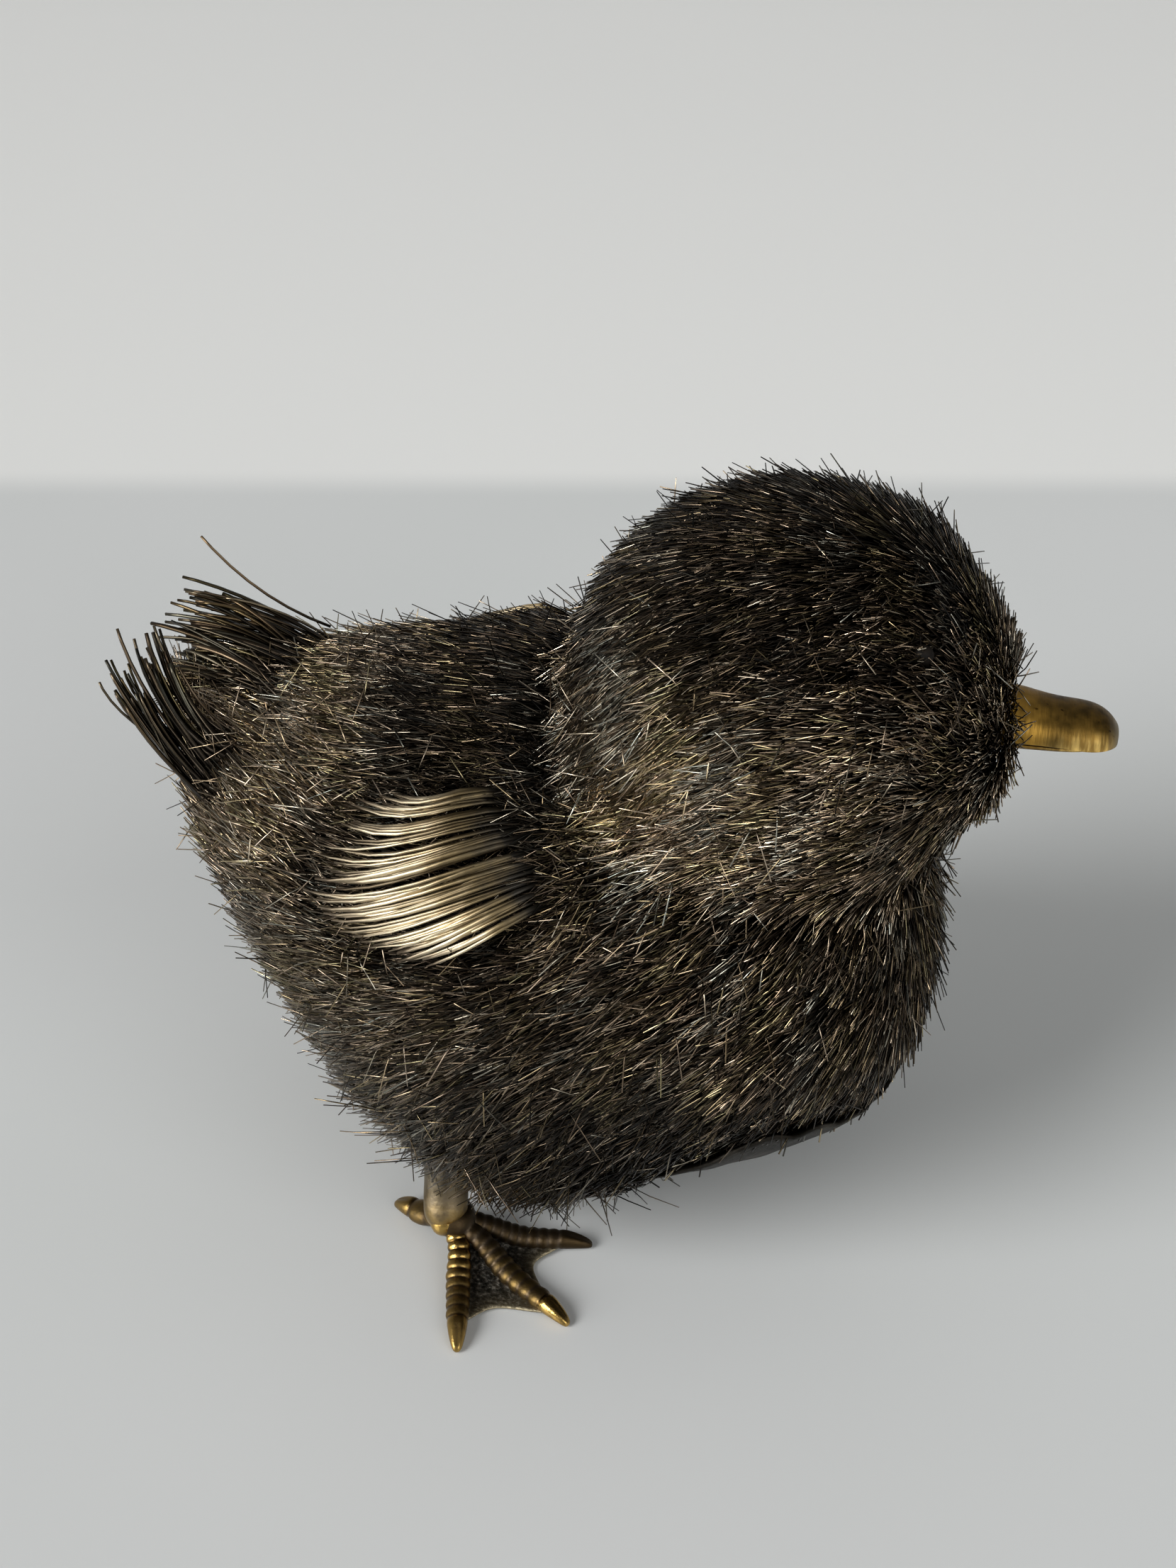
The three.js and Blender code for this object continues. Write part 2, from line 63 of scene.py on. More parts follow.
# A row is upper x, upper z, lower x, lower z and half-width, as shares of the size, front to rear.
BODY_OUTLINE = [
    (1.0, 0.47, 1.0, 0.45, 0.0), (0.992, 0.62, 0.985, 0.32, 0.36), (0.95, 0.78, 0.93, 0.2, 0.67),
    (0.85, 0.92, 0.8, 0.09, 0.9), (0.69, 0.99, 0.64, 0.02, 1.0), (0.5, 1.0, 0.45, 0.01, 1.0),
    (0.32, 0.97, 0.29, 0.14, 0.88), (0.17, 0.94, 0.155, 0.36, 0.64), (0.07, 0.92, 0.05, 0.6, 0.37),
    (0.0, 0.86, 0.0, 0.83, 0.0),
]
HEAD_OUTLINE = [
    (1.0, 0.49, 1.0, 0.46, 0.0), (0.99, 0.6, 0.955, 0.38, 0.36), (0.92, 0.77, 0.855, 0.25, 0.66),
    (0.78, 0.92, 0.73, 0.12, 0.88), (0.54, 1.0, 0.56, 0.02, 1.0), (0.29, 0.96, 0.37, 0.01, 1.0),
    (0.1, 0.82, 0.2, 0.07, 0.86), (0.01, 0.6, 0.08, 0.19, 0.58), (0.02, 0.38, 0.03, 0.36, 0.0),
]


def unit(vectors):
    """The vectors at length 1."""
    return vectors / np.maximum(np.linalg.norm(vectors, axis=-1, keepdims=True), 1e-9)


def blend(low, high, values):
    """A smooth step from 0 at low to 1 at high."""
    share = np.clip((values - low) / (high - low), 0, 1)
    return share * share * (3 - 2 * share)


def centripetal(points, t):
    """Places at t, from 0 to 1, on the centripetal curve through the points."""
    points = np.asarray(points, float)
    padded = np.vstack([2 * points[0] - points[1], points, 2 * points[-1] - points[-2]])
    run = np.clip(t, 0, 1) * (len(points) - 1)
    i = np.minimum(run.astype(int), len(points) - 2)
    w = (run - i)[..., None]
    a, b, c, d = (padded[i + k] for k in range(4))
    ab, bc, cd = (np.maximum(np.linalg.norm(q - p, axis=-1, keepdims=True), 1e-8) ** 0.5
                  for p, q in ((a, b), (b, c), (c, d)))
    start = ((b - a) / ab - (c - a) / (ab + bc) + (c - b) / bc) * bc
    end = ((c - b) / bc - (d - b) / (bc + cd) + (d - c) / cd) * bc
    return b + w * (start + w * (3 * (c - b) - 2 * start - end + w * (2 * (b - c) + start + end)))


def even_spline(values, t):
    """Values at t, from 0 to 1, on the even spline through the given values."""
    values = np.asarray(values, float)
    padded = np.concatenate([values[:1], values, values[-1:]])
    run = np.clip(t, 0, 1) * (len(values) - 1)
    i = np.minimum(run.astype(int), len(values) - 2)
    w = run - i
    a, b, c, d = (padded[i + k] for k in range(4))
    start, end = (c - a) / 2, (d - b) / 2
    return b + w * (start + w * (3 * (c - b) - 2 * start - end + w * (2 * (b - c) + start + end)))


class RoundedForm:
    """Ellipses strung between an upper and a lower outline in the middle plane."""

    def __init__(self, outline, size, middle_y):
        rows = np.array(outline)
        self.middle_y = middle_y
        self.upper_line = self.scaled(rows[:, 0:2], size)
        self.lower_line = self.scaled(rows[:, 2:4], size)
        self.half_widths = rows[:, 4] * size["width"] / 2

    @staticmethod
    def scaled(shares, size):
        return np.array([size["rear"], size["bottom"]]) + shares * [size["length"], size["height"]]

    def section(self, t):
        """Middle, half of the rise and half-width of the section at t."""
        upper, lower = centripetal(self.upper_line, t), centripetal(self.lower_line, t)
        return (upper + lower) / 2, (upper - lower) / 2, np.maximum(even_spline(self.half_widths, t), 0)

    def point(self, t, angle):
        """t runs from the front pole to the rear one, the angle from the left side over the top."""
        middle, rise, half = self.section(t)
        xz = middle + rise * np.sin(angle)[..., None]
        return np.stack([xz[..., 0], self.middle_y + half * np.cos(angle), xz[..., 1]], -1)

    def normal(self, t, angle):
        step = 1e-3
        inner = np.clip(t, 2 * step, 1 - 2 * step)
        along = self.point(inner + step, angle) - self.point(inner - step, angle)
        round_ = self.point(inner, angle + step) - self.point(inner, angle - step)
        normal = unit(np.cross(along, round_))
        middle = self.section(np.array(0.5))[0]
        outward = self.point(inner, angle) - [middle[0], self.middle_y, middle[1]]
        return np.where(np.sum(normal * outward, -1, keepdims=True) < 0, -normal, normal)

    def skin(self, t, angle, lift):
        return self.point(t, angle) + self.normal(t, angle) * np.asarray(lift)[..., None]

    def depth(self, places):
        """Roughly how far places lie under the surface, in millimetres; negative outside."""
        samples = np.linspace(0.01, 0.99, 99)
        middle, rise, half = self.section(samples)
        offset = places[:, None, [0, 2]] - middle
        across = offset[..., 0] * rise[:, 1] - offset[..., 1] * rise[:, 0]
        nearest = np.argmin(np.abs(across) / np.linalg.norm(rise, axis=1), axis=1)
        rows = np.arange(len(places))
        rise, half = rise[nearest], np.maximum(half[nearest], 1e-3)
        high = np.sum(offset[rows, nearest] * rise, -1) / np.sum(rise * rise, -1)
        wide = (places[:, 1] - self.middle_y) / half
        size = np.minimum(np.linalg.norm(rise, axis=1), half)
        radial = (1 - np.hypot(high, wide)) * size
        ends = np.minimum(places[:, 0] - self.upper_line[:, 0].min(),
                          self.upper_line[:, 0].max() - places[:, 0])
        return np.minimum(radial, ends)

    def away(self, places):
        """Directions straight away from the surface at places near it."""
        step = 0.3
        slopes = [self.depth(places - step * axis) - self.depth(places + step * axis) for axis in np.eye(3)]
        return unit(np.stack(slopes, -1))


head_low, head_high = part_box("head_shell")
middle_y = (head_low.y + head_high.y) / 2 / MM
body = RoundedForm(BODY_OUTLINE, BODY, middle_y)
head = RoundedForm(HEAD_OUTLINE, HEAD, middle_y)


def around(side, elevation):
    """The form's angle for a side and an elevation in degrees."""
    return np.radians(elevation if side == LEFT else 180 - elevation)


# Finishes

WHITE = (1.0, 1.0, 1.0)
BLACK = (0.0, 0.0, 0.0)


def finish_nodes(name, metallic=1.0):
    """A new material with its node tree and its shader."""
    material = bpy.data.materials.new(name)
    material.use_nodes = True
    shader = material.node_tree.nodes["Principled BSDF"]
    shader.inputs["Metallic"].default_value = metallic
    return material, material.node_tree, shader


def feed(tree, socket, value):
    """Links another node's socket to a socket, or sets the socket to a plain value."""
    if isinstance(value, bpy.types.NodeSocket):
        tree.links.new(value, socket)
    else:
        socket.default_value = value


def node_with(tree, kind, sockets):
    """A new node, with its sockets fed by name or number."""
    node = tree.nodes.new(f"ShaderNode{kind}")
    for name, value in sockets.items():
        feed(tree, node.inputs[name], value)
    return node


def ramp(tree, source, stops, name):
    """A colour ramp on a value; a stop is (place, colour)."""
    node = node_with(tree, "ValToRGB", {"Fac": source})
    node.name = name
    while len(node.color_ramp.elements) < len(stops):
        node.color_ramp.elements.new(0.5)
    for element, (place, colour) in zip(node.color_ramp.elements, stops):
        element.position = place
        element.color = (*colour, 1.0)
    return node.outputs["Color"]


def mottle(tree, size_mm, name, detail=4.0, squeeze=(1.0, 1.0, 1.0)):
    """Cloudy noise on the object's own coordinates; squeeze below 1 draws the blotches out along an axis."""
    place = tree.nodes.new("ShaderNodeTexCoord").outputs["Object"]
    drawn = node_with(tree, "Mapping", {"Vector": place, "Scale": squeeze}).outputs["Vector"]
    noise = node_with(tree, "TexNoise", {"Vector": drawn, "Scale": 1.0 / (size_mm * MM), "Detail": detail})
    noise.name = name
    return noise.outputs["Fac"]


def mixed(tree, factor, first, second, kind="MIX"):
    """Two colours mixed by a factor, which is a number or a socket."""
    node = tree.nodes.new("ShaderNodeMix")
    node.data_type = "RGBA"
    node.blend_type = kind
    for number, value in {0: factor, 6: first, 7: second}.items():
        feed(tree, node.inputs[number], (*value, 1.0) if isinstance(value, tuple) else value)
    return node.outputs[2]


def mapped(tree, source, low, high):
    """A value from 0 to 1 stretched to run from low to high."""
    return node_with(tree, "MapRange", {"Value": source, "To Min": low, "To Max": high}).outputs["Result"]


def combined(tree, operation, first, second):
    """Two values put together by an operation."""
    node = node_with(tree, "Math", {0: first, 1: second})
    node.operation = operation
    return node.outputs[0]


def carried(tree, name):
    """The four values that each vertex carries in an attribute."""
    attribute = tree.nodes.new("ShaderNodeAttribute")
    attribute.attribute_name = name
    split = node_with(tree, "SeparateColor", {"Color": attribute.outputs["Color"]})
    return *split.outputs[:3], attribute.outputs["Alpha"]


def roughened(tree, shader, height, depth_mm, strength):
    """A bump from a height value."""
    bump = node_with(tree, "Bump", {"Height": height, "Distance": depth_mm * MM, "Strength": strength})
    tree.links.new(bump.outputs["Normal"], shader.inputs["Normal"])


def dressed(tree, shader, colour, rough, span):
    """Gives the shader its colour, and its roughness from a value stretched over a span."""
    tree.links.new(colour, shader.inputs["Base Color"])
    tree.links.new(mapped(tree, rough, *span), shader.inputs["Roughness"])


def wire_finish(name, dull, bright, roots, rough):
    """Silver wire: each of its own patina between the dull and the bright ramp, blackened at the root; the
    shine and the chance also carry the coat's painted highlights and painted shade.
    """
    material, tree, shader = finish_nodes(name)
    along, chance, shine, warmth = carried(tree, "tone")
    colour = mixed(tree, shine, ramp(tree, chance, dull, "dull"), ramp(tree, chance, bright, "bright"))
    tint = ramp(tree, warmth, [(0.1, (0.82, 0.93, 1.0)), (0.35, (1.0, 0.97, 0.92)), (0.55, (1.0, 0.87, 0.8)),
                               (0.75, (1.0, 0.87, 0.65)), (0.95, (0.93, 0.92, 0.66))], "tint")
    patina = ramp(tree, mottle(tree, 3.0, "patina"), [(0.3, (0.55, 0.52, 0.5)), (0.7, WHITE)],
                  "patina strength")
    for layer in (tint, patina):
        colour = mixed(tree, 1.0, colour, layer, "MULTIPLY")
    black_root = mixed(tree, shine, ramp(tree, along, [(0.25, WHITE), (0.92, BLACK)], "root"),
                       ramp(tree, along, [(0.1, WHITE), (0.6, BLACK)], "rubbed root"))
    dressed(tree, shader, mixed(tree, black_root, colour, roots), chance, rough)
    return material


def coat_finish():
    dull = [(0.0, (0.01, 0.009, 0.008)), (0.5, (0.075, 0.062, 0.047)), (0.8, (0.22, 0.185, 0.14)),
            (0.93, (0.5, 0.43, 0.33)), (1.0, (0.95, 0.86, 0.7))]
    bright = [(0.0, (0.03, 0.026, 0.02)), (0.3, (0.2, 0.17, 0.125)), (0.65, (0.85, 0.76, 0.6)),
              (1.0, (1.0, 0.95, 0.82))]
    return wire_finish("oxidised_wire", dull, bright, (0.006, 0.005, 0.004), (0.34, 0.16))


def plume_finish():
    """Champagne wire with a painted highlight band along the middle of each plume, falling off to darker
    ochre and grey towards the root and to duller brown at the tip.
    """
    material, tree, shader = finish_nodes("champagne_plume")
    along, chance, shine, _ = carried(tree, "tone")
    # The band is a painted highlight, bright in the middle of each plume and dark towards both ends; noise
    # shifts it a little.
    shifted = combined(tree, "ADD", along, mapped(tree, mottle(tree, 2.2, "tarnish"), -0.2, 0.2))
    band = ramp(tree, shifted, [
        (0.1, (0.06, 0.054, 0.045)), (0.3, (0.25, 0.19, 0.1)), (0.45, (0.55, 0.44, 0.27)),
        (0.62, (0.9, 0.78, 0.55)), (0.8, (0.55, 0.46, 0.32)), (1.0, (0.26, 0.2, 0.14))], "band")
    tarnish = ramp(tree, chance, [(0.0, (0.3, 0.28, 0.26)), (1.0, WHITE)], "own tarnish")
    dulled = mixed(tree, 1.0, band, tarnish, "MULTIPLY")
    dressed(tree, shader, mixed(tree, shine, dulled, band), chance, (0.54, 0.38))
    return material


def tail_finish():
    dull = [(0.0, (0.015, 0.014, 0.011)), (0.6, (0.05, 0.043, 0.032)), (1.0, (0.14, 0.12, 0.085))]
    bright = [(0.0, (0.09, 0.07, 0.05)), (1.0, (0.34, 0.28, 0.19))]
    return wire_finish("tail_wire", dull, bright, (0.02, 0.016, 0.012), (0.4, 0.3))


def shell_finish():
    """Blackened sheet under the coat."""
    material, tree, shader = finish_nodes("blackened_sheet")
    cloud = mottle(tree, 5.0, "tarnish")
    colour = ramp(tree, cloud, [(0.3, (0.01, 0.009, 0.007)), (0.8, (0.035, 0.03, 0.024))], "black")
    dressed(tree, shader, colour, cloud, (0.5, 0.7))
    return material


def belly_finish():
    """Silver sheet with file marks, blackened in clouds."""
    material, tree, shader = finish_nodes("satin_silver")
    grain = mottle(tree, 0.35, "file marks", 6.0)
    colour = ramp(tree, mottle(tree, 4.0, "tarnish"), [
        (0.3, (0.01, 0.009, 0.007)), (0.55, (0.025, 0.022, 0.018)), (0.75, (0.08, 0.073, 0.06))], "silver")
    dressed(tree, shader, colour, grain, (0.5, 0.72))
    roughened(tree, shader, grain, 0.12, 0.8)
    return material


def gilt_bill_finish():
    """Gilding gone olive brown: ochre at the base, rubbed bright along the lower edge, grey at the tip."""
    material, tree, shader = finish_nodes("gilt_bill")
    rubbed, base, worn_tip, _ = carried(tree, "wear")
    cloud = mottle(tree, 1.5, "brown patches", 5.0)
    brown = ramp(tree, cloud, [(0.35, (0.07, 0.042, 0.01)), (0.65, (0.19, 0.11, 0.024))], "olive brown")
    ochre = ramp(tree, cloud, [(0.35, (0.27, 0.155, 0.03)), (0.65, (0.48, 0.275, 0.05))], "ochre")
    bars = ramp(tree, mottle(tree, 0.5, "rubbed bars", 3.0, (1.0, 0.3, 0.15)),
                [(0.4, (0.42, 0.26, 0.07)), (0.6, (0.98, 0.68, 0.22))], "rubbed bars")
    colour = mixed(tree, rubbed, mixed(tree, base, brown, ochre), bars)
    colour = mixed(tree, worn_tip, colour, (0.2, 0.165, 0.11))
    specks = ramp(tree, mottle(tree, 0.9, "dark marks", 3.0), [(0.66, WHITE), (0.72, (0.3, 0.26, 0.2))],
                  "dark marks")
    ripples = mottle(tree, 0.4, "fine ripples", 3.0, (1.0, 0.12, 0.12))
    dressed(tree, shader, mixed(tree, 1.0, colour, specks, "MULTIPLY"), ripples, (0.36, 0.58))
    roughened(tree, shader, ripples, 0.1, 0.8)
    return material


def gilt_foot_finish():
    """Polished gold on toes and ankle, browned in the grooves, fading to grey silver up the shank."""
    material, tree, shader = finish_nodes("gilt_foot")
    groove, silvered, browned, _ = carried(tree, "wear")
    cloud = mottle(tree, 1.2, "patches", 5.0)
    gold = mixed(tree, groove, (0.52, 0.34, 0.1), (0.08, 0.045, 0.016))
    gold = mixed(tree, browned, gold, mixed(tree, groove, (0.038, 0.025, 0.013), (0.1, 0.075, 0.05)))
    silver = ramp(tree, cloud, [(0.35, (0.05, 0.042, 0.03)), (0.65, (0.2, 0.17, 0.125))], "shank silver")
    dirt = ramp(tree, cloud, [(0.5, BLACK), (0.72, (0.6, 0.6, 0.6))], "dirt")
    colour = mixed(tree, dirt, mixed(tree, silvered, gold, silver), (0.06, 0.045, 0.03))
    dressed(tree, shader, colour, combined(tree, "MAXIMUM", silvered, browned), (0.24, 0.5))
    roughened(tree, shader, mottle(tree, 0.4, "grain", 4.0), 0.07, 0.6)
    return material


def web_finish():
    """Rough blackened web with brown and grey patches."""
    material, tree, shader = finish_nodes("blackened_web")
    cloud = mottle(tree, 0.45, "patches", 7.0)
    colour = ramp(tree, cloud, [(0.35, (0.018, 0.018, 0.016)), (0.52, (0.06, 0.056, 0.048)),
                                (0.7, (0.22, 0.2, 0.17))], "web")
    rim = tree.nodes.new("ShaderNodeAttribute")
    rim.attribute_name = "rim"
    colour = mixed(tree, mapped(tree, rim.outputs["Fac"], 0.0, 0.8), colour, (0.4, 0.34, 0.22))
    dressed(tree, shader, colour, cloud, (0.4, 0.62))
    roughened(tree, shader, mottle(tree, 0.6, "pits", 5.0), 0.25, 0.9)
    return material


def bead_finish():
    """Black glass gone dull, with a trace of brown cloud."""
    material, tree, shader = finish_nodes("black_bead", 0.0)
    cloud = mottle(tree, 0.8, "cloud")
    colour = ramp(tree, cloud, [(0.3, (0.004, 0.0035, 0.003)), (0.8, (0.014, 0.01, 0.007))], "black")
    dressed(tree, shader, colour, cloud, (0.5, 0.65))
    shader.inputs["Specular IOR Level"].default_value = 0.1
    return material


FINISHES = {
    "coat": coat_finish(),
    "plume": plume_finish(),
    "tail": tail_finish(),
    "shell": shell_finish(),
    "belly": belly_finish(),
    "bill": gilt_bill_finish(),
    "foot": gilt_foot_finish(),
    "web": web_finish(),
    "bead": bead_finish(),
}


# Pieces

def piece_from(bm, name, finish, nodes, levels=0):
    """A finished piece from a bmesh in millimetres, standing for the given nodes of the frame."""
    bmesh.ops.recalc_face_normals(bm, faces=bm.faces)
    bmesh.ops.scale(bm, vec=(MM, MM, MM), verts=bm.verts)
    mesh = bpy.data.meshes.new(name)
    bm.to_mesh(mesh)
    bm.free()
    mesh.shade_smooth()
    placed_piece(mesh, name, finish, nodes, levels)


def placed_piece(mesh, name, finish, nodes, levels=0):
    """Puts a mesh in the scene with its finish and the nodes that it stands for."""
    piece = bpy.data.objects.new(name, mesh)
    bpy.context.scene.collection.objects.link(piece)
    mesh.materials.append(FINISHES[finish])
    if levels:
        smooth = piece.modifiers.new("smooth", "SUBSURF")
        smooth.levels = smooth.render_levels = levels
    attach(piece, "root")
    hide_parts(*nodes)


def station(centre, ahead, up, half_width, half_height):
    """The matrix that sets a unit circle across a bar at one station."""
    ahead = Vector(ahead).normalized()
    across = ahead.cross(Vector(up)).normalized()
    upright = across.cross(ahead)
    columns = (across * half_width, upright * half_height, ahead)
    matrix = Matrix.Identity(4)
    for column, axis in enumerate(columns):
        for row in range(3):
            matrix[row][column] = axis[row]
    matrix.translation = Vector(centre)
    return matrix


def rim_edges(ring):
    """The edges between the vertices of a ring."""
    members = set(ring)
    return [e for e in {e for v in ring for e in v.link_edges} if members.issuperset(e.verts)]


def draw_bar(bm, sides, stations):
    """A closed bar drawn through its stations. Returns the rings of vertices, in order."""
    ring = bmesh.ops.create_circle(bm, cap_ends=True, radius=1, segments=sides, matrix=stations[0])["verts"]
    rings = [ring]
    for before, after in zip(stations, stations[1:]):
        drawn = bmesh.ops.extrude_edge_only(bm, edges=rim_edges(ring))["geom"]
        ring = [v for v in drawn if isinstance(v, bmesh.types.BMVert)]
        bmesh.ops.transform(bm, matrix=after @ before.inverted(), verts=ring)
        rings.append(ring)
    bmesh.ops.edgeloop_fill(bm, edges=rim_edges(ring))
    return rings


# Wires: one blank made with operators, laid many times along centre lines

def wire_blank(sides, stations):
    """A unit wire, as (place in the ring, station and run of each vertex, triangles)."""
    bm = bmesh.new()
    bmesh.ops.create_cone(bm, cap_ends=True, cap_tris=False, segments=sides, radius1=1, radius2=1, depth=1)
    bmesh.ops.rotate(bm, verts=bm.verts, matrix=Matrix.Rotation(math.pi / sides, 3, "Z"))
    bmesh.ops.translate(bm, verts=bm.verts, vec=(0, 0, 0.5))
    for height in stations[1:-1]:
        bmesh.ops.bisect_plane(bm, geom=bm.verts[:] + bm.edges[:] + bm.faces[:], plane_co=(0, 0, height),
                               plane_no=(0, 0, 1))
    bmesh.ops.triangulate(bm, faces=bm.faces)
    bmesh.ops.recalc_face_normals(bm, faces=bm.faces)
    bm.verts.index_update()
    places = np.array([v.co for v in bm.verts])
    triangles = np.array([[v.index for v in f.verts] for f in bm.faces])
    bm.free()
    at = np.argmin(np.abs(places[:, 2:3] - np.array(stations)), axis=1)
    return places[:, :2], at, np.array(stations)[at], triangles


ROUND_STATIONS = (0.0, 0.5, 1.0)
FLAT_STATIONS = (0.0, 0.15, 0.3, 0.45, 0.6, 0.75, 0.9, 1.0)
ROUND_BLANK = wire_blank(3, ROUND_STATIONS)
FLAT_BLANK = wire_blank(4, FLAT_STATIONS)


def laid_wires(lines, outward, half_width, half_sheet, blank):
    """Vertices and triangles of one wire along each line; both are stacked over the wires."""
    in_ring, at, _, triangles = blank
    along = unit(np.gradient(lines, axis=1))
    across = unit(np.cross(along, outward))
    upright = np.cross(across, along)
    wide = np.asarray(half_width)[..., None] * across
    thick = np.asarray(half_sheet)[..., None] * upright
    verts = lines[:, at] + in_ring[:, :1] * wide[:, at] + in_ring[:, 1:] * thick[:, at]
    faces = triangles + (np.arange(len(lines)) * len(at))[:, None, None]
    return verts.reshape(-1, 3), faces.reshape(-1, 3)


def wire_piece(name, lines, outward, half_width, half_sheet, own, blank, finish, nodes):
    """A piece of many wires; own is each wire's chance, shine and warmth for its finish."""
    verts, faces = laid_wires(lines, outward, half_width, half_sheet, blank)
    mesh = bpy.data.meshes.new(name)
    mesh.vertices.add(len(verts))
    mesh.vertices.foreach_set("co", (verts * MM).astype(np.float32).ravel())
    mesh.loops.add(faces.size)
    mesh.loops.foreach_set("vertex_index", faces.astype(np.int32).ravel())
    mesh.polygons.add(len(faces))
    mesh.polygons.foreach_set("loop_start", np.arange(0, faces.size, 3, dtype=np.int32))
    mesh.polygons.foreach_set("use_smooth", np.full(len(faces), True))
    mesh.update(calc_edges=True)
    run = blank[2]
    values = [run] + [value[:, None] for value in own]
    tone = np.stack([np.broadcast_to(value, (len(lines), len(run))) for value in values], -1)
    attribute = mesh.attributes.new("tone", "FLOAT_COLOR", "POINT")
    attribute.data.foreach_set("color", tone.astype(np.float32).ravel())
    placed_piece(mesh, name, finish, nodes)


# Coat

WIRE_RADIUS = 0.071
# Strips between two values of t, how near the poles their wires go, wires to the square millimetre, their
# length, and the degrees by which they rise from the sheet and spread from the flow.
BODY_COAT = {"strips": 12, "first": 0.035, "last": 0.953, "poles": (0.004, 0.996), "density": 8.0,
             "length": 5.9, "rise": 12.5, "spread": 9.0}
HEAD_COAT = {"strips": 8, "first": 0.075, "last": 0.93, "poles": (0.05, 0.99), "density": 9.2,
             "length": 5.7, "rise": 10.5, "spread": 9.0}
# Padding lifts the wires' roots off the sheet; tufts turn all wires of a place, by a wavelength and degrees.
COAT = {"root": 0.1, "padding": 0.4, "droop": 0.7, "sway": 0.6, "shortest": 0.72, "longest": 1.18}
TUFTS = {"broad": 9.0, "narrow": 3.5, "turn": 8.0}
BELLY_PLATE = {"behind_chest": 16.9, "length": 31.0, "width": 45.2, "sheet": 0.7}
plate_middle_x = BODY["rear"] + BODY["length"] - BELLY_PLATE["behind_chest"]

# Between head and body the wires stand up and fill the crease; a few stray from the coat everywhere.
CREASE = {"reach": 6.0, "lean": 0.8, "longer": 0.8, "steeper": 20.0, "turned": 9.0}
STRAYS = {"share": 0.03, "steeper": 18.0, "turned": 50.0}

# What the zones of the body's coat change, in millimetres, degrees and shares; the chest's shine and dulled
# are those of the whole coat before the other zones act.
UNDER_WING = {"run": (0.12, 0.92), "shorter": 1.2, "flatter": 7.0}
WING_EDGE = {"run": (-0.2, 0.08), "steeper": 4.0, "spread": 14.0}
PLATE_RIM = {"clear": 0.2, "reach": 6.0, "shorter": 0.45, "flat_from": 11.0, "flat_to": 1.0, "flatter": 0.6}
SKIRT = {"longer": 0.15, "steeper": 6.0, "brighter": 0.12, "padding": 2.2}
# The rump's brightening is a painted highlight; the saddle's and the flank's darkening is painted shade.
PAINTED_RUMP_HIGHLIGHT = {"brighter": 0.36, "duller": -0.7}
PAINTED_SADDLE_SHADE = {"darker": 0.15, "duller": 1.2}
PAINTED_FLANK_SHADE = {"duller": 0.5}
CHEST = {"flatter": 3.0, "shine": 0.12, "dulled": 1.4}

# Patches of painted highlight on the wires: place on the right side, reach and strength.
PAINTED_HIGHLIGHT_PATCHES = [
    ((-27.4, -10.5, 56.0), 7.0, 0.8), ((-28.5, -16.4, 48.9), 6.0, 0.55), ((-12.3, -27.1, 35.6), 6.0, 0.4),
    ((5.6, -17.6, 65.8), 7.0, 1.3), ((10.1, -21.2, 60.6), 6.0, 1.1), ((5.9, -27.5, 43.0), 6.0, 0.2),
]

WAVES = RNG.normal(size=(24, 3))
PHASES = RNG.uniform(0, 2 * math.pi, 24)


def ripple(places, wavelength, first):
    """Smooth noise from -1 to 1 over places; first picks which waves are used."""
    chosen = slice(first, first + 4)
    turns = places @ WAVES[chosen].T * (2 * math.pi / wavelength) + PHASES[chosen]
    return np.sin(turns).mean(-1) * 1.6


def scattered(form, first, last, density):
    """Places spread evenly over the band of a form between two shares of its length, as t and angle."""
    rows, columns = 10, 72
    t_edges = np.linspace(first, last, rows + 1)
    angle_edges = np.linspace(0, 2 * math.pi, columns + 1)
    corners = form.point(*np.meshgrid(t_edges, angle_edges, indexing="ij"))
    down = corners[1:, :-1] - corners[:-1, :-1]
    beside = corners[:-1, 1:] - corners[:-1, :-1]
    areas = np.linalg.norm(np.cross(down, beside), axis=-1).ravel()
    count = int(areas.sum() * density)
    cell = RNG.choice(len(areas), count, p=areas / areas.sum())
    row, column = np.divmod(cell, columns)
    t = t_edges[row] + RNG.random(count) * (last - first) / rows
    angle = angle_edges[column] + RNG.random(count) * 2 * math.pi / columns
    return t, angle


def turned(along, outward, angle):
    """Directions turned about the outward ones."""
    return along * np.cos(angle)[:, None] + np.cross(outward, along) * np.sin(angle)[:, None]


def in_surface(flow, outward):
    """The flow without its part along the outward direction, at length 1."""
    return unit(flow - np.sum(flow * outward, -1, keepdims=True) * outward)


def slanted(slope_degrees):
    """Directions towards the tail that fall by a slope."""
    slope = np.radians(slope_degrees)
    return np.stack([-np.cos(slope), np.zeros_like(slope), -np.sin(slope)], -1)


# How steeply the wires fall towards the tail, in degrees: a row for each height, from rear to front.
BODY_SLOPES = {"shares": (0, 0.2, 0.4, 0.6, 0.8, 1), "heights": (0.15, 0.55, 0.95),
               "rows": ((24, 34, 70, 70, 78, 84), (-12, 2, 24, 29, 28, 22), (-52, -42, -12, 30, 38, 35))}
HEAD_SLOPES = {"shares": (0, 0.25, 0.4, 0.55, 0.7, 0.85, 1), "heights": (0.4, 0.6, 0.78, 0.95),
               "rows": ((52, 34, 30, 4, -10, -10, -10), (59, 42, 27, 22, 4, 14, 0),
                        (67, 52, 36, 16, 7, 14, 12), (78, 64, 58, 48, 56, 58, 34))}


